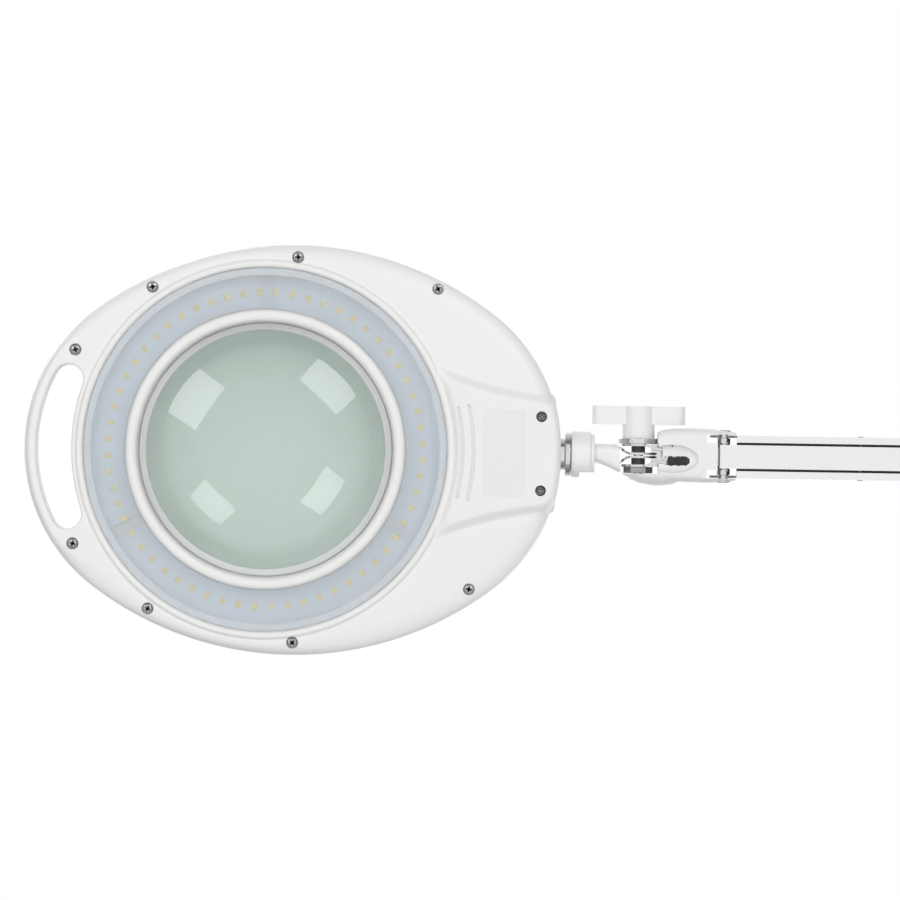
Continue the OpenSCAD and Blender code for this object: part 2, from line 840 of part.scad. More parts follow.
module clamp_screw() {
  pitch = 3;
  turns = floor((screw_len - 24) / pitch);
  color("silver") translate([screw_x, 0, pad_z - 13 - screw_len]) difference() {
    rotate_extrude($fn = 72) {
      square([8, 15]);
      square([4.2, screw_len - 0.4]);
      square([3.5, screw_len + 7.6]);
      for (k = [0:turns - 1]) translate([0, 20 + k * pitch])
        polygon([[0, 0], [4.2, 0], [screw_r, 0.9], [screw_r, 1.7], [4.2, 2.6], [0, 2.6]]);
    }
    rod_y(0, 7.5, 2.5, -20, 20);
  }
}

module screw_bar() {
  z = pad_z - 13 - screw_len + 7.5;
  color("silver") translate([screw_x, 0, 0]) {
    rod_y(0, z, 2.5, -36, 36);
    for (s = [-1, 1]) translate([0, s * 36, z]) sphere(4.2, $fn = 40);
  }
}

lower_housing();
upper_housing();
lens();
lens_gasket();
lens_bezel();
led_board();
led_chips();
led_cover();
housing_screws();
bay_screws();
driver_board();
driver_parts();
rocker_frame();
power_rocker();
blank_label();
neck_tube();
neck_nut();
lens_lid();
lid_pin();
knuckle_collar();
knuckle_tongue();
tilt_bushes();
tilt_knob();
tilt_bolt();
tilt_washer();
tilt_nut();
hinge_fork();
wrist_cap();
cable_sleeve();
wrist_pins();
wrist_spacers();
forearm_channel();
forearm_link();
forearm_spring();
forearm_spring_pin();
forearm_link_pin();
elbow_plate_left();
elbow_plate_right();
elbow_spacer();
elbow_pins();
elbow_sleeves();
lower_arm_channel();
lower_arm_link();
lower_arm_spring();
lower_arm_spring_pin();
lower_arm_link_pin();
base_fork();
base_pins();
base_sleeves();
swivel_post();
cord_gland();
clamp_frame();
jaw_pad();
post_bush();
post_screw();
pressure_pad();
pad_rubber();
clamp_screw();
screw_bar();
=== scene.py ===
"""The looks of the magnifying lamp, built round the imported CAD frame.

Blender works in metres here. Shapes are drawn in millimetres from two places on the
lamp, the middle of the lens and the knob axis, and put in place at the end.
"""
import json
import math

import bmesh
import bpy
from mathutils import Matrix, Vector


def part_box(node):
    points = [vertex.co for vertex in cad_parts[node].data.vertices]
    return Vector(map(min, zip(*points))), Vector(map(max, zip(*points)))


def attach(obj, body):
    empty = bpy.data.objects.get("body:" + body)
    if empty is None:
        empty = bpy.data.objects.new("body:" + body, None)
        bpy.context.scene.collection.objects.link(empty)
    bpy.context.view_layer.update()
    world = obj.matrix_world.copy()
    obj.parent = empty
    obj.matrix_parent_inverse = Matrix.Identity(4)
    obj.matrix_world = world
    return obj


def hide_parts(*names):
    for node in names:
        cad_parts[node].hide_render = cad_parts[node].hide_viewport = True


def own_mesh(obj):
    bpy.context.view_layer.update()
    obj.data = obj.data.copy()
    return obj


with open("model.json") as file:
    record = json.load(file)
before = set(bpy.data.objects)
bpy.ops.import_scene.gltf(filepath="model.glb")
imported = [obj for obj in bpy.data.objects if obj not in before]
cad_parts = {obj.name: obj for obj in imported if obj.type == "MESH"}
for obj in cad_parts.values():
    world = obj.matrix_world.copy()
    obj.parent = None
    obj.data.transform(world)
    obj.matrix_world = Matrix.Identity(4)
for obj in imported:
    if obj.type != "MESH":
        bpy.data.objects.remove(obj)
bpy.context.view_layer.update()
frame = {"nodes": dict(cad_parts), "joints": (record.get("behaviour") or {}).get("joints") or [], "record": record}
scene = bpy.context.scene

MM = 0.001
RIM_HALF = 2.9             # half the thickness of the lens's rim, in millimetres
JOINTS = {joint["name"]: joint for joint in frame["joints"]}


def middle(node):
    """The middle of a CAD node's box."""
    low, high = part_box(node)
    return (low + high) / 2


def rim_place():
    """The middle of the lens, at half the thickness of its rim."""
    low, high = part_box("lens_gasket")
    place = (low + high) / 2
    return Vector((place.x, place.y, high.z + RIM_HALF * MM))


LENS = rim_place()
KNOB = Vector(JOINTS["head_tilt"]["pos_m"])
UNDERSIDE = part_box("lower_housing")[0].z


# ---- Camera, lights, background and floor ----

FRAME_WIDTH = 0.4572       # what the camera sees across, at the head's underside
CAMERA_DISTANCE = 6.0
CAMERA_ROLL = math.radians(0.9)
AIM_FROM_LENS = (0.0940, -0.0012)
FLOOR_Z = -5.75
FLOOR_RADIUS = 9
SKY_LEAN = math.radians(-16)
SKY_GREYS = [              # (place from straight down at 0 to straight up at 1, grey)
    (0.0, 0.60), (1.0, 0.85), (0.48, 0.20), (0.74, 0.70),
]
BOX_SIZE = (0.97, 0.79)    # of the two soft boxes that the lens mirrors


def make_camera():
    """Looks straight up at the head, a little turned, as from a long way off."""
    data = bpy.data.cameras.new("camera")
    data.sensor_width = 36
    data.lens = data.sensor_width * CAMERA_DISTANCE / FRAME_WIDTH
    camera = bpy.data.objects.new("camera", data)
    scene.collection.objects.link(camera)
    aim = Vector((LENS.x + AIM_FROM_LENS[0], LENS.y + AIM_FROM_LENS[1], UNDERSIDE))
    place = Matrix.Translation(aim - Vector((0, 0, CAMERA_DISTANCE)))
    camera.matrix_world = place @ Matrix.Rotation(math.pi, 4, "X") @ Matrix.Rotation(CAMERA_ROLL, 4, "Z")
    scene.camera = camera


def make_light(name, towards, distance, size, watts):
    """A soft box that shines on the lens from a direction."""
    data = bpy.data.lights.new(name, "AREA")
    data.shape = "RECTANGLE"
    data.size, data.size_y = size
    data.energy = watts
    light = bpy.data.objects.new(name, data)
    scene.collection.objects.link(light)
    direction = Vector(towards).normalized()
    light.location = LENS + direction * distance
    light.rotation_euler = direction.to_track_quat("Z", "Y").to_euler()
    light.visible_camera = False


def make_world():
    """Pure white behind the object, and a softer white that lights it."""
    world = bpy.data.worlds.new("studio")
    scene.world = world
    world.use_nodes = True
    tree = world.node_tree
    tree.nodes.clear()
    out = tree.nodes.new("ShaderNodeOutputWorld")
    mix = tree.nodes.new("ShaderNodeMixShader")
    path = tree.nodes.new("ShaderNodeLightPath")
    lit = tree.nodes.new("ShaderNodeBackground")
    seen = tree.nodes.new("ShaderNodeBackground")
    height = tree.nodes.new("ShaderNodeSeparateXYZ")
    sky = tree.nodes.new("ShaderNodeValToRGB")
    level = tree.nodes.new("ShaderNodeMapRange")
    level.inputs["From Min"].default_value = -1
    lean = tree.nodes.new("ShaderNodeMapping")
    lean.inputs["Rotation"].default_value = (SKY_LEAN, 0, 0)
    tree.links.new(tree.nodes.new("ShaderNodeTexCoord").outputs["Generated"], lean.inputs["Vector"])
    tree.links.new(lean.outputs["Vector"], height.inputs["Vector"])
    tree.links.new(height.outputs["Z"], level.inputs["Value"])
    tree.links.new(level.outputs["Result"], sky.inputs["Fac"])
    steps = sky.color_ramp.elements
    ends = [steps[0], steps[1]]
    between = [steps.new(place) for place, _ in SKY_GREYS[2:]]
    for step, (place, grey) in zip(ends + between, SKY_GREYS):
        step.position = place
        step.color = (grey, grey, grey, 1)
    tree.links.new(sky.outputs["Color"], lit.inputs["Color"])
    seen.inputs["Color"].default_value = (1.0, 1.0, 1.0, 1.0)
    tree.links.new(path.outputs["Is Camera Ray"], mix.inputs["Fac"])
    tree.links.new(lit.outputs["Background"], mix.inputs[1])
    tree.links.new(seen.outputs["Background"], mix.inputs[2])
    tree.links.new(mix.outputs["Shader"], out.inputs["Surface"])


def make_studio():
    """The background, five soft lights and a pale floor far below."""
    make_world()
    make_light("left_box", (-0.47, -0.32, -0.82), 2.9, BOX_SIZE, 10.6)
    make_light("right_box", (0.40, -0.43, -0.82), 2.9, BOX_SIZE, 10.6)
    make_light("under_fill", (0.1, 0.2, -1.0), 4.5, (5.0, 4.0), 7)
    make_light("top_key", (-0.5, -0.7, 1.0), 1.8, (1.0, 1.0), 11)
    make_light("top_rim", (0.8, 0.6, 0.5), 1.8, (0.8, 0.8), 5)
    scene.view_settings.view_transform = "Standard"
    floor_mesh = bmesh.new()
    bmesh.ops.create_circle(floor_mesh, cap_ends=True, radius=FLOOR_RADIUS, segments=96)
    mesh = bpy.data.meshes.new("floor")
    floor_mesh.to_mesh(mesh)
    floor_mesh.free()
    floor = bpy.data.objects.new("floor", mesh)
    floor.location = (0, 0, FLOOR_Z)
    scene.collection.objects.link(floor)
    paint = Paint("pale_floor", (0.93, 0.93, 0.92), 0.75, Emission_Strength=0.22)
    paint.shader.inputs["Emission Color"].default_value = (1, 1, 1, 1)
    paint.bump(paint.noise(40, 3), 0.05, 0.002)
    mesh.materials.append(paint.material)


# ---- Materials ----

class Paint:
    """A Principled material whose colour, roughness and bump come from noise in space."""

    def __init__(self, name, colour, roughness, metallic=0.0, **sockets):
        self.material = bpy.data.materials.new(name)
        self.material.use_nodes = True
        self.tree = self.material.node_tree
        self.shader = self.tree.nodes["Principled BSDF"]
        self.colour = colour
        self.shader.inputs["Base Color"].default_value = (*colour, 1)
        self.shader.inputs["Roughness"].default_value = roughness
        self.shader.inputs["Metallic"].default_value = metallic
        for socket, value in sockets.items():
            self.shader.inputs[socket.replace("_", " ")].default_value = value
        self.place = self.tree.nodes.new("ShaderNodeTexCoord").outputs["Object"]

    def stretched(self, scales):
        """The place in space, stretched along the axes."""
        node = self.tree.nodes.new("ShaderNodeMapping")
        node.inputs["Scale"].default_value = scales
        self.tree.links.new(self.place, node.inputs["Vector"])
        return node.outputs["Vector"]

    def noise(self, scale, detail, scales=None):
        """Noise with that many waves a metre."""
        node = self.tree.nodes.new("ShaderNodeTexNoise")
        node.inputs["Scale"].default_value = scale
        node.inputs["Detail"].default_value = detail
        self.tree.links.new(self.stretched(scales) if scales else self.place, node.inputs["Vector"])
        return node.outputs["Fac"]

    def ramp(self, source, low, high, to_low=0.0, to_high=1.0):
        """Stretches a part of the source's range to another range."""
        node = self.tree.nodes.new("ShaderNodeMapRange")
        node.inputs["From Min"].default_value = low
        node.inputs["From Max"].default_value = high
        node.inputs["To Min"].default_value = to_low
        node.inputs["To Max"].default_value = to_high
        self.tree.links.new(source, node.inputs["Value"])
        return node.outputs["Result"]

    def tint(self, source, other):
        """Mixes the colour so far with another, as much as the source says."""
        node = self.tree.nodes.new("ShaderNodeMix")
        node.data_type = "RGBA"
        base = self.shader.inputs["Base Color"]
        if base.is_linked:
            self.tree.links.new(base.links[0].from_socket, node.inputs[6])
        else:
            node.inputs[6].default_value = (*self.colour, 1)
        node.inputs[7].default_value = (*other, 1)
        self.tree.links.new(source, node.inputs[0])
        self.tree.links.new(node.outputs[2], base)

    def rough(self, source, low, high):
        """Roughness that wanders between two values."""
        self.tree.links.new(self.ramp(source, 0.3, 0.7, low, high), self.shader.inputs["Roughness"])

    def bump(self, source, strength, distance):
        """Adds fine relief to whatever relief there is so far."""
        node = self.tree.nodes.new("ShaderNodeBump")
        node.inputs["Strength"].default_value = strength
        node.inputs["Distance"].default_value = distance
        self.tree.links.new(source, node.inputs["Height"])
        before = self.shader.inputs["Normal"]
        if before.is_linked:
            self.tree.links.new(before.links[0].from_socket, node.inputs["Normal"])
        self.tree.links.new(node.outputs["Normal"], before)


def plastic(name, colour, roughness, grain=0.10, **sockets):
    """Moulded plastic: a fine spark-eroded grain, faint flow marks and handling shine."""
    paint = Paint(name, colour, roughness, **sockets)
    paint.tint(paint.ramp(paint.noise(14, 3), 0.35, 0.75, 0.0, 0.5), [c * 0.965 for c in colour])
    paint.tint(paint.ramp(paint.noise(900, 2), 0.55, 0.8, 0.0, 0.25), [c * 0.93 for c in colour])
    paint.rough(paint.noise(70, 3), roughness * 0.85, roughness * 1.2)
    paint.bump(paint.noise(1500, 2), grain, 0.00025)
    return paint.material


def enamel(name, colour, roughness):
    """Stoved enamel on steel: orange peel under a clear gloss."""
    paint = Paint(name, colour, roughness, Coat_Weight=0.5, Coat_Roughness=0.08)
    paint.tint(paint.ramp(paint.noise(12, 2), 0.4, 0.8, 0.0, 0.35), [c * 0.97 for c in colour])
    paint.rough(paint.noise(30, 2), roughness * 0.97, roughness * 1.05)
    paint.bump(paint.noise(500, 1), 0.012, 0.0002)
    return paint.material


CHANNEL_HALF = 9.75        # half the inside width of an outer channel, in millimetres
# painted shade: a near-black colour that stands in for the shadow inside the arm channels
CHANNEL_PAINTED_SHADE = (0.035, 0.035, 0.037, 1)


def enamel_with_painted_channel_shade(name, node, depth_axis, lips, web):
    """Arm enamel with painted shade: near black inside the channel, between its lips and web, where the channel's
    shadow falls.
    """
    material = enamel(name, ARM, 0.26)
    tree = material.node_tree
    low, high = (corner["XYZ".index(depth_axis)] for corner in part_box(node))
    place = tree.nodes.new("ShaderNodeSeparateXYZ")
    tree.links.new(tree.nodes.new("ShaderNodeTexCoord").outputs["Object"], place.inputs[0])
    across = tree.nodes.new("ShaderNodeMath")
    across.operation = "ABSOLUTE"
    tree.links.new(place.outputs["Y"], across.inputs[0])
    inside = tree.nodes.new("ShaderNodeMath")
    inside.operation = "LESS_THAN"
    inside.inputs[1].default_value = CHANNEL_HALF * MM
    tree.links.new(across.outputs[0], inside.inputs[0])
    both = inside
    for operation, limit in (("GREATER_THAN", low + lips * MM), ("LESS_THAN", high - web * MM)):
        deep = tree.nodes.new("ShaderNodeMath")
        deep.operation = operation
        deep.inputs[1].default_value = limit
        tree.links.new(place.outputs[depth_axis], deep.inputs[0])
        product = tree.nodes.new("ShaderNodeMath")
        product.operation = "MULTIPLY"
        tree.links.new(both.outputs[0], product.inputs[0])
        tree.links.new(deep.outputs[0], product.inputs[1])
        both = product
    # painted shade: the enamel turns near black inside the channel, between its lips and web
    mix = tree.nodes.new("ShaderNodeMix")
    mix.data_type = "RGBA"
    base = tree.nodes["Principled BSDF"].inputs["Base Color"]
    tree.links.new(base.links[0].from_socket, mix.inputs[6])
    mix.inputs[7].default_value = CHANNEL_PAINTED_SHADE
    tree.links.new(both.outputs[0], mix.inputs[0])
    tree.links.new(mix.outputs[2], base)
    return material


def metal(name, colour, roughness, brush=None):
    """Bare or plated metal, with wiped smears and, if asked for, brush lines along an axis."""
    paint = Paint(name, colour, roughness, 1.0)
    paint.tint(paint.ramp(paint.noise(60, 4), 0.45, 0.8, 0.0, 0.6), [c * 0.8 for c in colour])
    paint.rough(paint.noise(220, 3), roughness * 0.7, roughness * 1.5)
    if brush:
        paint.bump(paint.noise(160, 3, brush), 0.18, 0.0002)
    else:
        paint.bump(paint.noise(300, 2), 0.03, 0.0002)
    return paint.material


def rubber(name, colour, roughness):
    """Matt rubber with a fine grain and paler worn patches."""
    paint = Paint(name, colour, roughness, Sheen_Weight=0.15)
    paint.tint(paint.ramp(paint.noise(45, 4), 0.5, 0.8, 0.0, 0.6), [c * 2.0 for c in colour])
    paint.rough(paint.noise(150, 3), roughness * 0.85, min(1.0, roughness * 1.15))
    paint.bump(paint.noise(1100, 3), 0.35, 0.0004)
    return paint.material


def lens_glass():
    """Clear glass with a faint green body."""
    paint = Paint("lens_glass", (0.893, 1.0, 0.95), 0.0, Transmission_Weight=1.0, IOR=1.5)
    paint.rough(paint.noise(30, 3), 0.0, 0.006)
    return paint.material


def diffuser():
    """Opal acrylic: it scatters most light and lets the LEDs show through softly."""
    paint = Paint("led_diffuser", (0.93, 0.965, 1.0), 0.25, Transmission_Weight=0.82, IOR=1.2)
    paint.tint(paint.ramp(paint.noise(20, 3), 0.35, 0.7, 0.0, 0.8), (0.93, 0.95, 0.97))
    paint.rough(paint.noise(50, 3), 0.06, 0.09)
    paint.bump(paint.noise(900, 1), 0.05, 0.0003)
    return paint.material


def led_chip():
    """A white package with yellow phosphor on the side that faces down."""
    paint = Paint("led_phosphor", (0.90, 0.90, 0.86), 0.4)
    facing = paint.place.node.outputs["Normal"]
    split = paint.tree.nodes.new("ShaderNodeSeparateXYZ")
    paint.tree.links.new(facing, split.inputs[0])
    paint.tint(paint.ramp(split.outputs["Z"], -0.3, -0.9), (1.0, 0.83, 0.30))
    paint.bump(paint.noise(2500, 2), 0.1, 0.0002)
    return paint.material


def circuit_board():
    """Green solder mask over copper tracks that run in steps."""
    paint = Paint("circuit_board", (0.03, 0.16, 0.08), 0.35, Coat_Weight=0.4)
    bricks = paint.tree.nodes.new("ShaderNodeTexBrick")
    bricks.inputs["Scale"].default_value = 260
    bricks.inputs["Mortar Size"].default_value = 0.06
    paint.tree.links.new(paint.place, bricks.inputs["Vector"])
    paint.tint(bricks.outputs["Fac"], (0.10, 0.34, 0.14))
    paint.bump(bricks.outputs["Fac"], 0.2, 0.0001)
    return paint.material


WHITE = (0.86, 0.86, 0.853)
ARM = (0.84, 0.84, 0.835)
LOOKS = {
    "white_housing": plastic("white_housing", WHITE, 0.36),
    "white_fittings": plastic("white_fittings", (0.85, 0.85, 0.845), 0.30, 0.06),
    "lens_glass": lens_glass(),
    "black_rubber": rubber("black_rubber", (0.018, 0.018, 0.019), 0.62),
    "led_board_white": plastic("led_board_white", (0.84, 0.90, 0.96), 0.45, 0.05),
    "led_phosphor": led_chip(),
    "led_diffuser": diffuser(),
    "circuit_board": circuit_board(),
    "gasket_silicone": plastic("gasket_silicone", (0.76, 0.775, 0.765), 0.4, 0.3),
    "black_plastic": plastic("black_plastic", (0.022, 0.022, 0.024), 0.42, 0.3),
    "label_film": plastic("label_film", (0.83, 0.83, 0.825), 0.22, 0.02),
    "screw_steel": metal("screw_steel", (0.36, 0.36, 0.37), 0.30, (1, 6, 1)),
    "bright_chrome": metal("bright_chrome", (0.66, 0.66, 0.67), 0.09),
    "grey_nylon": plastic("grey_nylon", (0.07, 0.074, 0.08), 0.45, 0.12),
    "arm_enamel": enamel("arm_enamel", ARM, 0.26),
    "spring_steel": metal("spring_steel", (0.42, 0.42, 0.43), 0.3),
    "clamp_enamel": enamel("clamp_enamel", (0.82, 0.82, 0.815), 0.30),
    "zinc_steel": metal("zinc_steel", (0.50, 0.50, 0.51), 0.26, (1, 1, 12)),
}
NODE_LOOKS = {
    "lens_lid": plastic("milky_lid", (0.93, 0.935, 0.93), 0.38, 0.10, Transmission_Weight=0.45),
    "forearm_channel": enamel_with_painted_channel_shade("forearm_outer", "forearm_channel", "Z", 0.3, 0.6),
    "forearm_link": enamel_with_painted_channel_shade("forearm_inner", "forearm_link", "Z", 0.6, 0),
    "lower_arm_channel": enamel_with_painted_channel_shade("lower_arm_outer", "lower_arm_channel", "X", 0.3, 0.6),
    "lower_arm_link": enamel_with_painted_channel_shade("lower_arm_inner", "lower_arm_link", "X", 0.6, 0),
}
SLOT_OF = {row["node"]: row["material_slot"] for row in frame["record"]["subparts"]}


# ---- CAD nodes that keep their shape: their looks, and rounded edges ----

PLAIN_EDGE = 0.25          # radius of the rounded edges, in millimetres
EDGE = {                   # where it differs
    "clamp_frame": 1.2, "jaw_pad": 0.4, "base_fork": 0.8, "elbow_plate_left": 0.8,
    "elbow_plate_right": 0.8, "elbow_spacer": 0.5, "forearm_channel": 0.35,
    "lower_arm_channel": 0.35, "forearm_link": 0.3, "lower_arm_link": 0.3, "lens_lid": 0.6,
    "tilt_knob": 1.0, "rocker_frame": 0.5, "power_rocker": 0.5, "pressure_pad": 0.6,
    "post_screw": 0.7, "screw_bar": 0.4, "neck_tube": 0.4, "driver_board": 0.1,
    "led_board": 0.1, "led_chips": 0.2, "blank_label": 0.05, "clamp_screw": 0.12,
    "cable_sleeve": 0.2, "lens_gasket": 0.4, "cord_gland": 0.3, "lid_pin": 0.3,
}
SHARP_TURN = math.radians(35)   # a sharper edge than this is rounded
CREASE_TURN = math.radians(40)  # and a new piece is shaded smooth below this


def round_edges(piece, radius):
    """Rounds the sharp edges of a piece by a modifier."""
    edge = piece.modifiers.new("rounded_edges", "BEVEL")
    edge.width = radius * MM
    edge.segments = 3
    edge.limit_method = "ANGLE"
    edge.angle_limit = SHARP_TURN


def soften(piece, radius):
    """Rounds the sharp edges of a CAD node, which is left as it is underneath."""
    weld = piece.modifiers.new("weld", "WELD")
    weld.merge_threshold = 0.000005
    flat = piece.modifiers.new("flat_faces", "DECIMATE")
    flat.decimate_type = "DISSOLVE"
    flat.angle_limit = math.radians(0.6)
    round_edges(piece, radius)
    normals = piece.modifiers.new("even_normals", "WEIGHTED_NORMAL")
    normals.keep_sharp = False


def dress_cad():
    """Gives every CAD node its material and its rounded edges."""
    for name, node in frame["nodes"].items():
        look = NODE_LOOKS.get(name) or LOOKS[SLOT_OF[name]]
        node.data.materials.clear()
        node.data.materials.append(look)
        soften(node, EDGE.get(name, PLAIN_EDGE))


# ---- Mesh tools ----

def loft(mesh, rings, closed=False):
    """Joins rings of equally many points with quads. Returns every ring's vertices."""
    made = [[mesh.verts.new(point) for point in ring] for ring in rings]
    pairs = list(zip(made, made[1:] + made[:1]))
    for one, two in pairs if closed else pairs[:-1]:
        for i in range(len(one)):
            j = (i + 1) % len(one)
            mesh.faces.new((one[i], one[j], two[j], two[i]))
    return made


def solid(mesh, rings):
    """Joins rings and closes both ends."""
    made = loft(mesh, rings)
    mesh.faces.new(made[0])
    mesh.faces.new(made[-1])


def fill(mesh, rings):
    """Fills the flat region between rings of vertices, the first of them the outer one."""
    edges = [mesh.edges.get((ring[i - 1], ring[i])) for ring in rings for i in range(len(ring))]
    bmesh.ops.triangle_fill(mesh, use_beauty=False, use_dissolve=False, edges=edges)


def rounding(radius, steps):
    """(distance from the wall, depth below the face) along a rounded edge, from face to wall."""
    turns = [math.pi / 2 * k / steps for k in range(steps + 1)]
    return [(radius * (1 - math.sin(t)), radius * (1 - math.cos(t))) for t in turns]


def smooth(t):
    """Runs softly from 0 to 1 as t does, and stays level beyond."""
    t = min(max(t, 0.0), 1.0)
    return t * t * (3 - 2 * t)


def at_height(points, z):
    """Flat points, lifted to a height."""
    return [(x, y, z) for x, y in points]


def circle(radius, centre=(0, 0), count=48):
    """Points round a circle."""
    angles = [math.tau * k / count for k in range(count)]
    return [(centre[0] + radius * math.cos(a), centre[1] + radius * math.sin(a)) for a in angles]


def lathe(mesh, profile, count=240):
    """Turns a closed profile of (radius, height) round the Z axis."""
    return loft(mesh, [at_height(circle(r, count=count), z) for r, z in profile], closed=True)


def to_object(mesh, name, origin):
    """Makes an object of a mesh that was drawn in millimetres from origin."""
    bmesh.ops.recalc_face_normals(mesh, faces=mesh.faces)
    bmesh.ops.transform(
        mesh, matrix=Matrix.Translation(origin) @ Matrix.Scale(MM, 4), verts=mesh.verts
    )
    data = bpy.data.meshes.new(name)
    mesh.to_mesh(data)
    mesh.free()
    made = bpy.data.objects.new(name, data)
    scene.collection.objects.link(made)
    return made


def apply_modifiers(piece):
    """Makes a piece's modifiers part of its mesh."""
    graph = bpy.context.evaluated_depsgraph_get()
    data = bpy.data.meshes.new_from_object(piece.evaluated_get(graph))
    piece.modifiers.clear()
    before = piece.data
    piece.data = data
    bpy.data.meshes.remove(before)


def combine(piece, tool, operation):
    """Adds a second object to a piece, or cuts it out, and deletes it."""
    modifier = piece.modifiers.new("combine", "BOOLEAN")
    modifier.operation = operation
    modifier.solver = "EXACT"
    modifier.object = tool
    bpy.context.view_layer.update()
    apply_modifiers(piece)
    data = tool.data
    bpy.data.objects.remove(tool)
    bpy.data.meshes.remove(data)


def settle(piece, slot, body, nodes, bevel=0.0):
    """Gives a finished piece its even shading, the look of its slot and its body, and hides the nodes it stands
    for.
    """
    if bevel:
        round_edges(piece, bevel)
        bpy.context.view_layer.update()
        apply_modifiers(piece)
    piece.data.shade_smooth()
    piece.data.set_sharp_from_angle(angle=CREASE_TURN)
    normals = piece.modifiers.new("even_normals", "WEIGHTED_NORMAL")
    normals.keep_sharp = True
    piece.data.materials.clear()
    piece.data.materials.append(LOOKS[slot])
    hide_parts(*nodes)
    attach(piece, body)


# ---- Outlines of the head, in millimetres from the lens centre ----

def from_lens(point):
    """A place in the scene, in millimetres from the middle of the lens."""
    return (point - LENS) / MM


HEAD_LOW, HEAD_HIGH = (from_lens(corner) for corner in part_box("lower_housing"))
HEAD_TOP = from_lens(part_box("lens_lid")[0]).z - 0.6
HALF_L = (HEAD_HIGH.x - HEAD_LOW.x) / 2
HALF_W = (HEAD_HIGH.y - HEAD_LOW.y) / 2
HEAD_X = (HEAD_HIGH.x + HEAD_LOW.x) / 2
END_R = 88                 # radius of the outline's two end arcs
END_X = HALF_L - END_R
SLIM = HALF_L - HALF_W
SIDE_Y = SLIM * (END_X - SLIM / 2) / (END_X - SLIM)
SIDE_R = HALF_W + SIDE_Y
MEET = math.atan2(SIDE_Y, END_X)
LOWER_Z = -20              # the flat underside
BAY_Z = HEAD_LOW.z         # the driver bay's face
LOWER_EDGE = 6             # depth of the lower shell's rounded rim
UPPER_EDGE = 8             # and of the upper shell's
LENS_OPENING = 64.3
OVAL_STEPS = 360


def oval(inset):
    """The head's outline of two end arcs and two side arcs, drawn in by inset."""
    points = []
    for k in range(OVAL_STEPS):
        turn = math.tau * k / OVAL_STEPS
        c, s = math.cos(turn), math.sin(turn)
        side = abs(s) > math.sin(MEET)
        x = 0 if side else math.copysign(END_X, c)
        y = -math.copysign(SIDE_Y, s) if side else 0
        r = (SIDE_R if side else END_R) - inset
        points.append((HEAD_X + x + r * c, y + r * s))
    return points


def oval_inset(x, y):
    """How far inside the head's outline a point is."""
    x -= HEAD_X
    end = math.atan2(abs(y), abs(x) - END_X)
    if abs(x) > END_X and end < MEET:
        return END_R - math.hypot(abs(x) - END_X, y)
    return SIDE_R - math.hypot(x, abs(y) + SIDE_Y)


def arc(centre, radius, start, end, count):
    """Points along an arc, the last one left out."""
    turns = [start + (end - start) * k / count for k in range(count)]
    return [(centre[0] + radius * math.cos(t), centre[1] + radius * math.sin(t)) for t in turns]


SLOT_FAR, SLOT_INNER, SLOT_END = END_R - 6, 98.6, 7.6
SLOT_MID = HEAD_X - END_X
SLOT_A, SLOT_B = SLOT_INNER + SLOT_END, SLOT_FAR - SLOT_END
SLOT_X = (SLOT_A ** 2 - SLOT_B ** 2 + SLOT_MID ** 2) / (2 * SLOT_MID)
SLOT_Y = math.sqrt(SLOT_A ** 2 - SLOT_X ** 2)


def hand_slot(grow):
    """The hand slot's crescent between the end arc and a circle round the lens."""
    far = math.atan2(SLOT_Y, SLOT_X - SLOT_MID)
    near = math.atan2(SLOT_Y, SLOT_X)
    full = math.tau
    end_r = SLOT_END + grow
    return (
        arc((SLOT_MID, 0), SLOT_FAR + grow, far, full - far, 60)
        + arc((SLOT_X, -SLOT_Y), end_r, full - far, full + math.pi - near, 24)
        + arc((0, 0), SLOT_INNER - grow, full - near, near, 60)
        + arc((SLOT_X, SLOT_Y), end_r, near - math.pi, far, 24)
    )


def vent(radius, half_width):
    """A curved slot with round ends, round the lens."""
    half_turn = math.radians(13)
    ends = [(radius * math.cos(half_turn), s * radius * math.sin(half_turn)) for s in (1, -1)]
    return (
        arc((0, 0), radius + half_width, -half_turn, half_turn, 32)
        + arc(ends[0], half_width, half_turn, half_turn + math.pi, 10)
        + arc((0, 0), radius - half_width, half_turn, -half_turn, 32)
        + arc(ends[1], half_width, math.pi - half_turn, math.tau - half_turn, 10)
    )


# ---- Driver bay: raised, flaring from the neck to the LED ring ----

BAY_CORE = (122.0, 0.0)     # where the rays start that find the outline
BAY_RING_R = 96.2
FLARE_X, FLARE_Y, FLARE_R = 160, 213, 185.6
BAY_END_R = 110.5
BAY_END_X = HEAD_HIGH.x - BAY_END_R
BAY_BLEND = 2.0             # rounding of the outline's corners
BAY_TOE = 2.6
BAY_SLOPE = 6.0
BAY_FILLET = 4.2
BAY_STEPS = 300


def bay_limits(x, y):
    """Distances past the ring, the nearer flare and the neck end; all below 0 inside."""
    ring = BAY_RING_R - math.hypot(x, y)
    flare = FLARE_R - math.hypot(x - FLARE_X, abs(y) - FLARE_Y)
    end = math.hypot(x - BAY_END_X, y) - BAY_END_R
    return ring, flare, end


def bay_distance(x, y):
    """The largest of the limits, with the corners between them rounded."""
    limits = bay_limits(x, y)
    top = max(limits)
    return top + BAY_BLEND * math.log(sum(math.exp((v - top) / BAY_BLEND) for v in limits))


def bay_point(turn, inset):
    """Where the ray from the bay's core meets the bay's outline drawn in by inset."""
    near, far = 0.0, 90.0
    c, s = math.cos(turn), math.sin(turn)
    for _ in range(36):
        reach = (near + far) / 2
        inside = bay_distance(BAY_CORE[0] + reach * c, BAY_CORE[1] + reach * s) < -inset
        near, far = (reach, far) if inside else (near, reach)
    return BAY_CORE[0] + near * c, BAY_CORE[1] + near * s


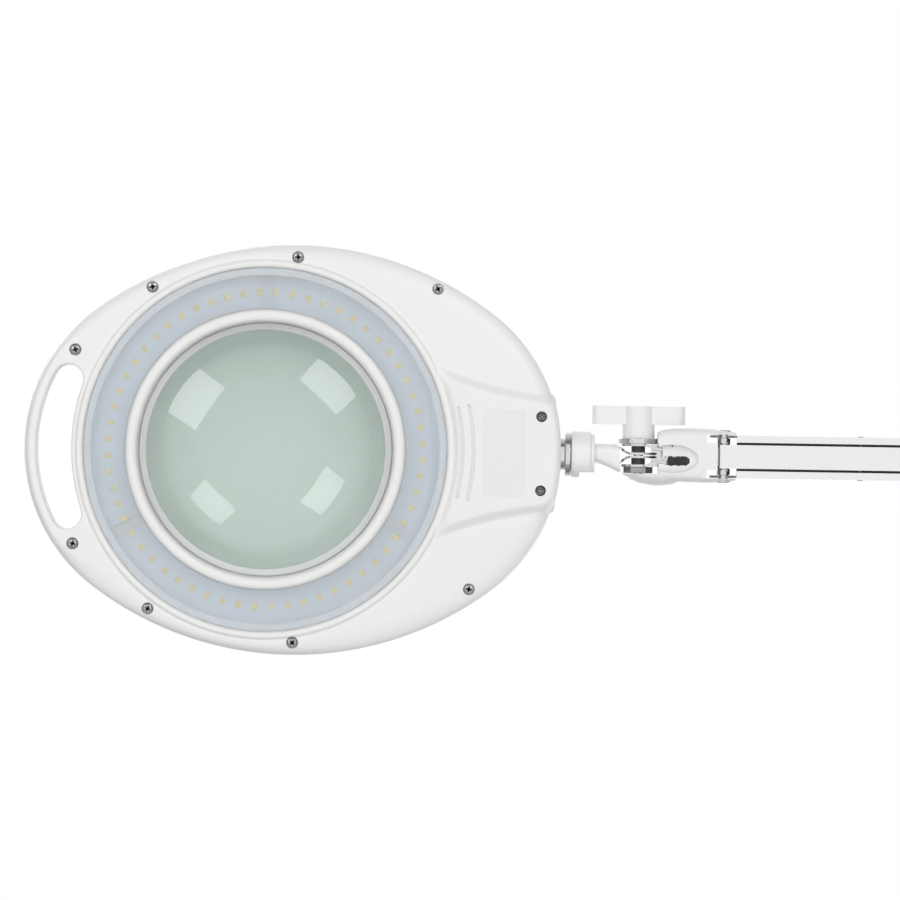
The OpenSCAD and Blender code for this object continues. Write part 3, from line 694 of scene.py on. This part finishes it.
def plate_height(x, y):
    """Height of the lower shell's outside under a point, with its rounded edge."""
    inset = oval_inset(x, y)
    if inset >= LOWER_EDGE:
        return LOWER_Z
    rest = LOWER_EDGE - max(inset, 0.0)
    return LOWER_Z + LOWER_EDGE - math.sqrt(max(LOWER_EDGE ** 2 - rest ** 2, 0.0))


def bay_rings():
    """Rings from the bay's foot to its top: a soft slope on the shell, a wall at the neck end."""
    steps = 10
    rows = [(-BAY_TOE, -1.0, 0.4, -0.8), (-BAY_TOE, 0.0, 0.0, -1.4)]
    for k in range(steps + 1):
        t = k / steps
        turn = math.pi / 2 * t
        rows.append((
            -BAY_TOE + BAY_SLOPE * t,
            smooth(t),
            BAY_FILLET * (1 - math.cos(turn)),
            BAY_Z + BAY_FILLET * (1 - math.sin(turn)),
        ))
    rings = []
    for slope_inset, rise, wall_inset, wall_z in rows:
        ring = []
        for k in range(BAY_STEPS):
            turn = math.tau * k / BAY_STEPS
            ring_limit, flare_limit, end_limit = bay_limits(*bay_point(turn, 0))
            wall = smooth((end_limit - max(ring_limit, flare_limit) + 3) / 8)
            inset = slope_inset + (wall_inset - slope_inset) * wall
            x, y = bay_point(turn, inset)
            base = plate_height(x, y) + 0.05
            slope_z = base - 2.0 * rise if rise < 0 else base + (BAY_Z - base) * rise
            ring.append((x, y, slope_z + (wall_z - slope_z) * wall))
        rings.append(ring)
    return rings


def bay_solid():
    """The bay as a closed solid, with its foot buried in the shell."""
    mesh = bmesh.new()
    made = loft(mesh, bay_rings())
    for vertex in made[-1]:
        vertex.co.z = BAY_Z
    fill(mesh, [made[-1]])
    foot = mesh.verts.new((BAY_CORE[0], BAY_CORE[1], -9))
    for i in range(len(made[0])):
        mesh.faces.new((made[0][i - 1], made[0][i], foot))
    return to_object(mesh, "bay", LENS)


# ---- Shells of the head ----

SCREWS = [
    (15.3, -98), (15.3, 98), (-58.5, -81.8), (-58.5, 81.8),
    (-97.2, -49.3), (-97.2, 49.3), (86.7, -83), (104.7, 69.5),
]
BAY_SCREWS = [(140.3, -18.8), (140.3, 18.8)]
SEAM = 0.05                # half the gap between the two shells
SEAM_BEVEL = 0.3
SEAM_BEVEL_DEPTH = 0.45
TROUGH = [                 # (radius, height) from the flat of the shell to the seam
    (97.0, -20), (96.7, -20.1), (96.4, -20.4), (96.1, -20.8), (95.7, -21.2), (95.2, -21.43),
    (94.6, -21.5), (94.0, -21.4), (93.4, -21.1), (92.9, -20.6), (92.6, -19.9), (92.6, -19.1),
    (92.3, -18.95), (88.9, -18.95), (88.6, -18.7), (88.6, -8), (69, -8), (69, -16.8),
    (68.8, -17), (67.8, -17), (67.6, -16.8), (67.6, -0.05),
]


def edge_rings(outline, radius, face_z, seam_z):
    """Rings of a wall: round edge at the face, then straight to the seam, with a fine bevel there."""
    way = 1 if seam_z > face_z else -1
    steps = [(radius + 0.3, 0)] + rounding(radius, 4)
    rings = [at_height(outline(d), face_z + way * depth) for d, depth in steps]
    rings.append(at_height(outline(0), seam_z - way * SEAM_BEVEL_DEPTH))
    rings.append(at_height(outline(SEAM_BEVEL), seam_z))
    return rings


def rim_rings(face_z, seam_z, depth, narrow, wide):
    """Rings of the shell's crowned rim: wide, but narrow beside the hand slot and the lip."""
    way = 1 if seam_z > face_z else -1
    wall, drawn_in = oval(0), oval(1)
    rings = []
    profile = [(1.03, 0)] + [(across, down * depth) for across, down in rounding(1, 12)]
    for across, down in profile:
        ring = []
        for (x, y), (x1, y1) in zip(wall, drawn_in):
            room = min(wide, 0.93 * (math.hypot(x, y) - TROUGH[0][0]))
            past_slot = smooth((abs(y) - 46) / 30 + smooth((x + 80) / 50))
            inset = across * max(narrow + (room - narrow) * past_slot, narrow)
            ring.append((x + (x1 - x) * inset, y + (y1 - y) * inset, face_z + way * down))
        rings.append(ring)
    rings.append(at_height(wall, seam_z - way * SEAM_BEVEL_DEPTH))
    rings.append(at_height(oval(SEAM_BEVEL), seam_z))
    return rings


def cutter(mesh, outline, face_z, depth_z, lead=0.35):
    """A plug with a flared mouth that cuts a hole with a rounded edge."""
    way = 1 if depth_z > face_z else -1
    rings = [at_height(outline(lead), face_z - way * 1.0), at_height(outline(lead), face_z)]
    rings += [at_height(outline(d), face_z + way * depth) for d, depth in rounding(lead, 4)[1:]]
    rings.append(at_height(outline(0), depth_z))
    made = loft(mesh, rings)
    fill(mesh, [made[0]])
    fill(mesh, [made[-1]])


RIM_BY_SLOT = 3.4          # width of the rounded rim beside the hand slot
VENTS = (100.5, 106)       # radii of the bay's curved vents
ROCKER_X = 115


def lower_housing():
    """The shell on the lamp side, with the LED trough and the driver bay."""
    mesh = bmesh.new()
    walls = [
        loft(mesh, rim_rings(LOWER_Z, -SEAM, LOWER_EDGE, RIM_BY_SLOT, 13)),
        loft(mesh, edge_rings(hand_slot, 1.2, LOWER_Z, -SEAM)),
        loft(mesh, [at_height(circle(r, count=240), z) for r, z in TROUGH]),
    ]
    fill(mesh, [wall[0] for wall in walls])
    fill(mesh, [wall[-1] for wall in walls])
    shell = to_object(mesh, "lower_shell", LENS)
    combine(shell, bay_solid(), "UNION")
    mesh = bmesh.new()
    for place in SCREWS:
        cutter(mesh, lambda grow, at=place: circle(3.1 + grow, at, 40), LOWER_Z, LOWER_Z + 2.4)
    for place in BAY_SCREWS:
        cutter(mesh, lambda grow, at=place: circle(2.7 + grow, at, 40), BAY_Z, BAY_Z + 8)
    for radius in VENTS:
        cutter(mesh, lambda grow, r=radius: vent(r, 0.75 + grow), BAY_Z, -21.9, 0.3)
    combine(shell, to_object(mesh, "holes", LENS), "DIFFERENCE")
    settle(shell, "white_housing", "head", ["lower_housing"])


def lens_opening(grow):
    """The round opening that the lens is looked through."""
    return circle(LENS_OPENING + grow, count=240)


def rocker_opening(grow):
    """The rocker frame's outline: a box with round corners, towards the neck."""
    half_x, half_y, radius = 11 + grow, 9 + grow, 1 + grow
    points = []
    for quarter, (way_x, way_y) in enumerate([(1, 1), (-1, 1), (-1, -1), (1, -1)]):
        centre = (ROCKER_X + way_x * (half_x - radius), way_y * (half_y - radius))
        points += arc(centre, radius, quarter * math.pi / 2, (quarter + 1) * math.pi / 2, 6)
    return points


def upper_housing():
    """The shell on the eye side, with the lens opening and the lugs of the lid."""
    mesh = bmesh.new()
    walls = [
        loft(mesh, rim_rings(HEAD_TOP, SEAM, UPPER_EDGE, RIM_BY_SLOT, 8)),
        loft(mesh, edge_rings(hand_slot, 0.8, HEAD_TOP, SEAM)),
        loft(mesh, edge_rings(lens_opening, 0.8, HEAD_TOP, SEAM)),
    ]
    fill(mesh, [wall[0] for wall in walls])
    fill(mesh, [wall[-1] for wall in walls])
    shell = to_object(mesh, "upper_shell", LENS)
    mesh = bmesh.new()
    cutter(mesh, rocker_opening, HEAD_TOP, HEAD_TOP - 9)
    combine(shell, to_object(mesh, "rocker_opening", LENS), "DIFFERENCE")
    mesh = bmesh.new()
    for x in (-14, 14):
        hinge_lug(mesh, x)
    combine(shell, to_object(mesh, "lugs", LENS), "UNION")
    settle(shell, "white_housing", "head", ["upper_housing"])


def hinge_lug(mesh, x, half_width=5, radius=3.2):
    """A lug with a round top that holds one end of the lid's pin."""
    axis = from_lens(middle("lid_pin"))
    rings = []
    inner = half_width - 0.5
    for dx, inset in ((-half_width, 0.5), (-inner, 0), (inner, 0), (half_width, 0.5)):
        r = radius - inset
        top = [(axis.y + r * math.cos(t), axis.z + r * math.sin(t))
               for t in [math.pi * k / 20 for k in range(21)]]
        foot = [(axis.y - r - 0.8, HEAD_TOP + 0.3), (axis.y - r - 1.2, HEAD_TOP - 1),
                (axis.y + r + 1.2, HEAD_TOP - 1), (axis.y + r + 0.8, HEAD_TOP + 0.3)]
        rings.append([(x + dx, y, z) for y, z in top + foot])
    made = loft(mesh, rings)
    fill(mesh, [made[0]])
    fill(mesh, [made[-1]])


# ---- Lens and the ring that holds it ----

def lens_piece():
    """The biconvex glass."""
    low, high = (from_lens(corner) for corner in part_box("lens"))
    radius, rim = high.x, 1.5
    steps = 36

    def face(apex, way):
        """Rings of a spherical face, from its middle to the rim."""
        rise = abs(apex) - rim
        curve = (radius ** 2 + rise ** 2) / (2 * rise)
        radii = [radius * (k + 0.5) / (steps + 0.5) for k in range(steps + 1)]
        return [
            at_height(circle(r, count=180), apex - way * (curve - math.sqrt(curve ** 2 - r ** 2)))
            for r in radii
        ]

    rings = face(low.z, -1) + face(high.z, 1)[::-1]
    mesh = bmesh.new()
    solid(mesh, rings)
    settle(to_object(mesh, "lens_of_glass", LENS), "lens_glass", "head", ["lens"])


def bezel_piece():
    """The ring with a rolled edge that holds the lens."""
    roll = [math.radians(a) for a in range(180, 336, 13)]
    profile = [(64.6, -3), (64.75, -10), (65.0, -17.6)]
    profile += [(68.3 + 3.3 * math.cos(a), -18.3 + 3.3 * math.sin(a)) for a in roll]
    profile += [(71.6, -19.0), (71.6, -17.2), (69.8, -17.0), (67.2, -16.8), (67.2, -3)]
    mesh = bmesh.new()
    lathe(mesh, profile)
    settle(to_object(mesh, "bezel", LENS), "white_housing", "head", ["lens_bezel"])


def cover_piece():
    """The diffuser: a flat ring with a thicker frosted edge that lies on the shell's ledge."""
    low, high = (from_lens(corner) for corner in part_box("led_cover"))
    profile = [(71.5, high.z), (71.45, low.z + 0.3), (71.75, low.z), (88.4, low.z),
               (88.9, low.z - 0.35), (91.8, low.z - 0.35), (92.3, low.z), (92.5, low.z + 0.6),
               (92.5, high.z)]
    mesh = bmesh.new()
    lathe(mesh, profile)
    settle(to_object(mesh, "diffuser_ring", LENS), "led_diffuser", "head", ["led_cover"])


def cross_head(mesh, place, base_z, radius):
    """A pan head that faces down, with its crown 1.1 below base_z and its shank above."""
    crown = [(radius * math.sin(t), -1.1 + 0.75 * (1 - math.cos(t)))
             for t in [math.radians(a) for a in (8, 25, 42, 58, 72, 83, 90)]]
    rings = [at_height(circle(r, place, 40), base_z + z) for r, z in crown]
    rings.append(at_height(circle(radius, place, 40), base_z + 2))
    rings.append(at_height(circle(1.4, place, 40), base_z + 2.2))
    rings.append(at_height(circle(1.4, place, 40), base_z + 9))
    solid(mesh, rings)


def cross_slot(mesh, place, base_z, way, radius):
    """A tapered slot, one of the two that make a cross."""
    along = Vector((math.cos(way), math.sin(way)))
    aside = Vector((-math.sin(way), math.cos(way)))
    rings = []
    for z, half_l, half_w in ((-2, 0.66, 0.2), (-0.9, 0.6, 0.18), (0.3, 0.25, 0.12)):
        points = [Vector(place) + along * radius * half_l * a + aside * radius * half_w * b
                  for a, b in ((1, 1), (-1, 1), (-1, -1), (1, -1))]
        rings.append(at_height(points, base_z + z))
    solid(mesh, rings)


SCREW_SINK = 2.1           # from the face round a screw up to its base_z


def screw_piece(name, node, places, radius, face_z):
    """Cross-head screws, each turned its own way, their crowns a little below the face."""
    mesh = bmesh.new()
    for place in places:
        cross_head(mesh, place, face_z + SCREW_SINK, radius)
    heads = to_object(mesh, name, LENS)
    for quarter in (0, 1):
        mesh = bmesh.new()
        for k, place in enumerate(places):
            way = 0.7 * k + quarter * math.pi / 2
            cross_slot(mesh, place, face_z + SCREW_SINK, way, radius)
        combine(heads, to_object(mesh, "slots", LENS), "DIFFERENCE")
    settle(heads, "screw_steel", "head", [node], 0.06)


# ---- Knuckle and wrist, in millimetres from the knob axis ----

def hoop(x, y_low, y_high, half_z, power=2.0, count=72):
    """A rounded ring across the X axis, from a circle at power 2 to nearly square above 4."""
    points = []
    for k in range(count):
        turn = math.tau * k / count
        c, s = math.cos(turn), math.sin(turn)
        across = math.copysign(abs(c) ** (2 / power), c)
        along = math.copysign(abs(s) ** (2 / power), s)
        points.append((x, (y_low + y_high) / 2 + (y_high - y_low) / 2 * across, half_z * along))
    return points


def capped_loft(name, rings):
    """A solid through the rings, closed at both ends."""
    mesh = bmesh.new()
    solid(mesh, rings)
    return to_object(mesh, name, KNOB)


def block(name, low, high):
    """A box-shaped cutter between two corners."""
    mesh = bmesh.new()
    bmesh.ops.create_cube(mesh, size=1)
    size = [b - a for a, b in zip(low, high)]
    centre = [(a + b) / 2 for a, b in zip(low, high)]
    bmesh.ops.scale(mesh, vec=size, verts=mesh.verts)
    bmesh.ops.translate(mesh, vec=centre, verts=mesh.verts)
    return to_object(mesh, name, KNOB)


def drum(name, radius, y_low, y_high, at=(0, 0), rim=0.0):
    """A disc across the Y axis, about the knob axis unless told where, with bevelled ends."""
    ends = [(y_low, 0), (y_high, 0)]
    if rim:
        ends = [(y_low, rim), (y_low + rim, 0), (y_high - rim, 0), (y_high, rim)]
    rings = [[(x, y, z) for x, z in circle(radius - inset, at, 96)] for y, inset in ends]
    return capped_loft(name, rings)


def smooth_through(points, x):
    """A smooth curve through a few points, level beyond the two ends."""
    if x <= points[0][0]:
        return points[0][1]
    for k in range(len(points) - 1):
        (x0, y0), (x1, y1) = points[k:k + 2]
        if x <= x1:
            before = points[max(k - 1, 0)]
            after = points[min(k + 2, len(points) - 1)]
            m0 = (y1 - before[1]) / (x1 - before[0]) * (x1 - x0)
            m1 = (after[1] - y0) / (after[0] - x0) * (x1 - x0)
            t = (x - x0) / (x1 - x0)
            return ((2 * t ** 3 - 3 * t ** 2 + 1) * y0 + (t ** 3 - 2 * t ** 2 + t) * m0
                    + (3 * t ** 2 - 2 * t ** 3) * y1 + (t ** 3 - t ** 2) * m1)
    return points[-1][1]


def edge_inset(distance, radius):
    """How far a rounded edge draws in at a distance from the end face."""
    rest = max(radius - distance, 0)
    return radius - math.sqrt(radius ** 2 - rest ** 2)


# The stem's flare and the cheek share one outer curve, from the collar round to the cap
CHEEK = [
    (-23, 3.4), (-15, 6.3), (-7.5, 10), (0, 13.7), (8, 15.2), (14, 15.0), (19, 13.9), (22.5, 11.5),
]
CAP_TOP = [(8.6, 11.6), (13, 13.2), (24, 14.1), (34, 14.1), (44, 13.3), (50, 12.3)]
CAP_FOOT = [(8.6, 12.8), (34, 13.4), (44, 12.8), (50, 12.2)]


def sheet(name, path, thickness, half_z):
    """Sheet metal on edge along a path in X and Y."""
    left, right = [], []
    for k, (x, y) in enumerate(path):
        a = Vector(path[max(k - 1, 0)])
        b = Vector(path[min(k + 1, len(path) - 1)])
        along = (b - a).normalized()
        left.append((x - along.y * thickness / 2, y + along.x * thickness / 2))
        right.append((x + along.y * thickness / 2, y - along.x * thickness / 2))
    rings = [at_height(left + right[::-1], z) for z in (-half_z, half_z)]
    return capped_loft(name, rings)


def tongue_piece():
    """Two pressed sheets that part towards the stem."""
    both = None
    for side in (-1, 1):
        path = [(-12.8, side * 4.3), (-11, side * 4.3)]
        path += [(-11 + 6.5 * t, side * (4.3 - 3.45 * smooth(t))) for t in (0.2, 0.4, 0.6, 0.8, 1)]
        path += [(0, side * 0.85), (9.5, side * 0.85)]
        plate = sheet("tongue_plates", path, 1.15, 9.5)
        room = drum("round_end", 9.5, -6, 6)
        combine(room, block("neck_room", (-20, -6, -4.4), (0, 6, 4.4)), "UNION")
        combine(plate, room, "INTERSECT")
        if both:
            combine(both, plate, "UNION")
        both = both or plate
    combine(both, drum("bolt_hole", 2.55, -6, 6), "DIFFERENCE")
    settle(both, "bright_chrome", "knuckle", ["knuckle_tongue"], 0.15)


def fork_piece():
    """The hinge fork: one strip bent round a pin, with its two plates stepped outwards."""
    path = [(-9, -5.3), (4, -5.3), (5.5, -4.9), (7, -3.9), (8.5, -3.4), (11.5, -3.2)]
    for degrees in range(15, 180, 15):
        turn = math.radians(degrees)
        path.append((11.5 + 3.2 * math.sin(turn), -3.2 * math.cos(turn)))
    path += [(x, -y) for x, y in path[5::-1]]
    strip = sheet("hinge_strip", path, 1.2, 8.5)
    room = drum("round_ends", 8.5, -8, 8)
    combine(room, block("tail_room", (0, -8, -7.6), (16, 8, 7.6)), "UNION")
    combine(strip, room, "INTERSECT")
    back = block("back_plate", (6.6, -5.6, 6.2), (22, 5.6, 7.4))
    combine(strip, back, "UNION")
    combine(strip, drum("bolt_hole", 2.55, -8, 8), "DIFFERENCE")
    settle(strip, "bright_chrome", "wrist", ["hinge_fork"], 0.2)


def knuckle_piece():
    """The collar on the neck, and the stem that flares towards the wrist's cheek."""
    profile = [(-34.2, 10.9), (-33.95, 11.4), (-33.5, 11.65), (-25.0, 11.65), (-24.5, 11.45),
               (-24.2, 11.0), (-24.15, 10.35), (-22.8, 10.3), (-22.45, 10.1), (-22.3, 9.7)]
    collar = capped_loft("stem_collar", [hoop(x, -r, r, r, count=120) for x, r in profile])
    rings = []
    for k in range(16):
        x = -23.2 + 14.2 * k / 15
        foot = smooth_through(CHEEK, x) if x > -22 else 3.4
        rings.append(hoop(x, -5.6, foot, 7.3 - 1.4 * smooth((x + 21) / 9), 2.8))
    combine(collar, capped_loft("stem", rings), "UNION")
    for tool in (
        block("cheek_room", (-30, 9.1, -30), (30, 30, 30)),
        drum("bore", 11.2, -20, 5.2),
        drum("nut_room", 9.9, 5, 20),
        block("tongue_slot", (-13, -5.0, -4.6), (0, 5.0, 4.6)),
    ):
        combine(collar, tool, "DIFFERENCE")
    settle(collar, "white_fittings", "knuckle", ["knuckle_collar"], 0.3)


PIVOTS = [(43.5, -6), (43.5, 6)]   # (x, z) of the forearm's two pins


def pin_piece():
    """The two pivot pins, with thin heads sunk into the wrist's jaws."""
    pins = None
    for at in PIVOTS:
        for part in (
            drum("pins", 2.45, -13.0, 13.0, at),
            drum("head", 3.5, 12.1, 13.3, at, 0.3),
            drum("head", 3.5, -13.5, -12.3, at, 0.3),
        ):
            if pins:
                combine(pins, part, "UNION")
            pins = pins or part
    settle(pins, "bright_chrome", "wrist", ["wrist_pins"])


def bowl(name, centre, radii):
    """An ellipsoid cutter."""
    mesh = bmesh.new()
    bmesh.ops.create_uvsphere(mesh, u_segments=96, v_segments=48, radius=1)
    bmesh.ops.scale(mesh, vec=radii, verts=mesh.verts)
    bmesh.ops.translate(mesh, vec=centre, verts=mesh.verts)
    return to_object(mesh, name, KNOB)


def window_outline(grow):
    """The window's long outline, with round ends."""
    quarter = math.pi / 2
    radius = 2.35 + grow
    return (arc((23.4, 2.5), radius, -quarter, quarter, 20)
            + arc((14.2, 2.5), radius, quarter, 3 * quarter, 20))


def wrist_piece():
    """The cap that the forearm's pivots go through, with a cheek beside the hinge."""
    body = []
    for k in range(34):
        x = 29.8 - 20.2 * math.cos(math.pi * k / 33)
        inset = edge_inset(x - 9.6, 1.0) + edge_inset(50.0 - x, 1.2)
        body.append(hoop(x, -smooth_through(CAP_TOP, x) + inset,
                         smooth_through(CAP_FOOT, x) - inset, 14 - inset, 5.0, 96))
    cap = capped_loft("wrist_cap_body", body)
    cheek = []
    for k in range(33):
        x = 5.2 - 18.4 * math.cos(math.pi * (k + 0.2) / 33)
        half = math.sqrt(max(19.2 ** 2 - (x - 5.5) ** 2, 0.1))
        half = half - 1.6 * math.log(1 + math.exp((half - 13.9) / 1.6))
        outer = smooth_through(CHEEK, x)
        cheek.append(hoop(x, 12 - outer, outer, half, 2.6))
    dome = capped_loft("cheek", cheek)
    combine(dome, block("cheek_flat", (-30, -30, -30), (30, 9.4, 30)), "DIFFERENCE")
    combine(cap, dome, "UNION")
    window = bmesh.new()
    cutter(window, window_outline, -15, -7, 0.5)
    head_rooms = [drum("head_room", 3.7, side * 12.05, side * 20, at)
                  for at in PIVOTS for side in (-1, 1)]
    for tool in (
        block("arm_slot", (33, -11.25, -30), (80, 11.25, 30)),
        block("fork_slot", (-20, -6.2, -8.8), (26.2, 6.2, 8.8)),
        block("fork_gap", (-20, -6.2, -30), (10.2, 9.4, 30)),
        block("tail_gap", (-20, -4.2, -30), (12.2, 4.2, 0)),
        drum("tail_round", 15.3, -4.2, 4.2),
        drum("washer_room", 10.9, -9.2, -5),
        drum("hub_room", 8.9, -30, -8),
        bowl("recess", (17.2, 1.6, -14.6), (13.6, 7.4, 4.2)),
        block("wedge", (12.4, -5.4, -16), (17.6, -4.4, -7)),
        *head_rooms,
        to_object(window, "window", KNOB),
    ):
        combine(cap, tool, "DIFFERENCE")
    combine(cap, block("lip", (32, -6.8, -13.9), (40.3, 6.8, -12.4)), "UNION")
    combine(cap, block("lip_root", (32.5, -11.4, -13.4), (34.8, 11.4, -12.9)), "UNION")
    settle(cap, "white_fittings", "wrist", ["wrist_cap"], 0.35)


# ---- Arm springs, in millimetres along each spring from its first pin ----

WIRE_R = 0.6
COIL_R = 3.2               # to the middle of the wire
COIL_PITCH = 1.35
COIL_FROM_PIN = 12
COIL_POINTS = 14           # points in one turn
PIN_RING_R = 3


def spring_piece(name, node, pins, body):
    """Close coils with a ring round each cross pin."""
    near, far = (middle(pin) for pin in pins)
    along = (far - near).normalized()
    length = (far - near).length / MM
    across = Vector((0, 1, 0))
    depth = along.cross(across)
    hook = [(-10.8, COIL_R), (-2, 3.05)]
    for degrees in range(90, -201, -20):
        turn = math.radians(degrees)
        hook.append((PIN_RING_R * math.cos(turn), PIN_RING_R * math.sin(turn)))
    coiled_length = length - 2 * COIL_FROM_PIN
    steps = COIL_POINTS * round(coiled_length / COIL_PITCH)
    coil = []
    for k in range(1, steps):
        turn = math.tau * k / COIL_POINTS
        x = COIL_FROM_PIN + coiled_length * k / steps
        coil.append((x, COIL_R * math.cos(turn), COIL_R * math.sin(turn)))
    path = [(-x, up, 0) for x, up in reversed(hook)] + coil + [(length + x, up, 0) for x, up in hook]
    wire = bpy.data.curves.new(name, "CURVE")
    wire.dimensions = "3D"
    wire.bevel_depth = WIRE_R * MM
    wire.bevel_resolution = 2
    wire.use_fill_caps = True
    line = wire.splines.new("POLY")
    line.points.add(len(path) - 1)
    for point, (x, up, side) in zip(line.points, path):
        point.co = (*((along * x + depth * up + across * side) * MM), 1)
    drawn = bpy.data.objects.new(name + "_line", wire)
    mesh = bpy.data.meshes.new_from_object(drawn)
    bpy.data.objects.remove(drawn)
    bpy.data.curves.remove(wire)
    coiled = bpy.data.objects.new(name, mesh)
    coiled.location = near
    scene.collection.objects.link(coiled)
    bpy.context.view_layer.update()
    settle(coiled, "spring_steel", body, [node])
    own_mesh(coiled)


make_camera()
make_studio()
dress_cad()
lower_housing()
upper_housing()
lens_piece()
bezel_piece()
cover_piece()
screw_piece("shell_screws", "housing_screws", SCREWS, 2.65, LOWER_Z)
screw_piece("bay_cover_screws", "bay_screws", BAY_SCREWS, 2.3, BAY_Z + 3)
knuckle_piece()
tongue_piece()
fork_piece()
pin_piece()
wrist_piece()
spring_piece("forearm_coil", "forearm_spring", ("forearm_spring_pin", "forearm_link_pin"),
             "forearm")
spring_piece("lower_arm_coil", "lower_arm_spring", ("lower_arm_spring_pin", "lower_arm_link_pin"),
             "lower_arm")
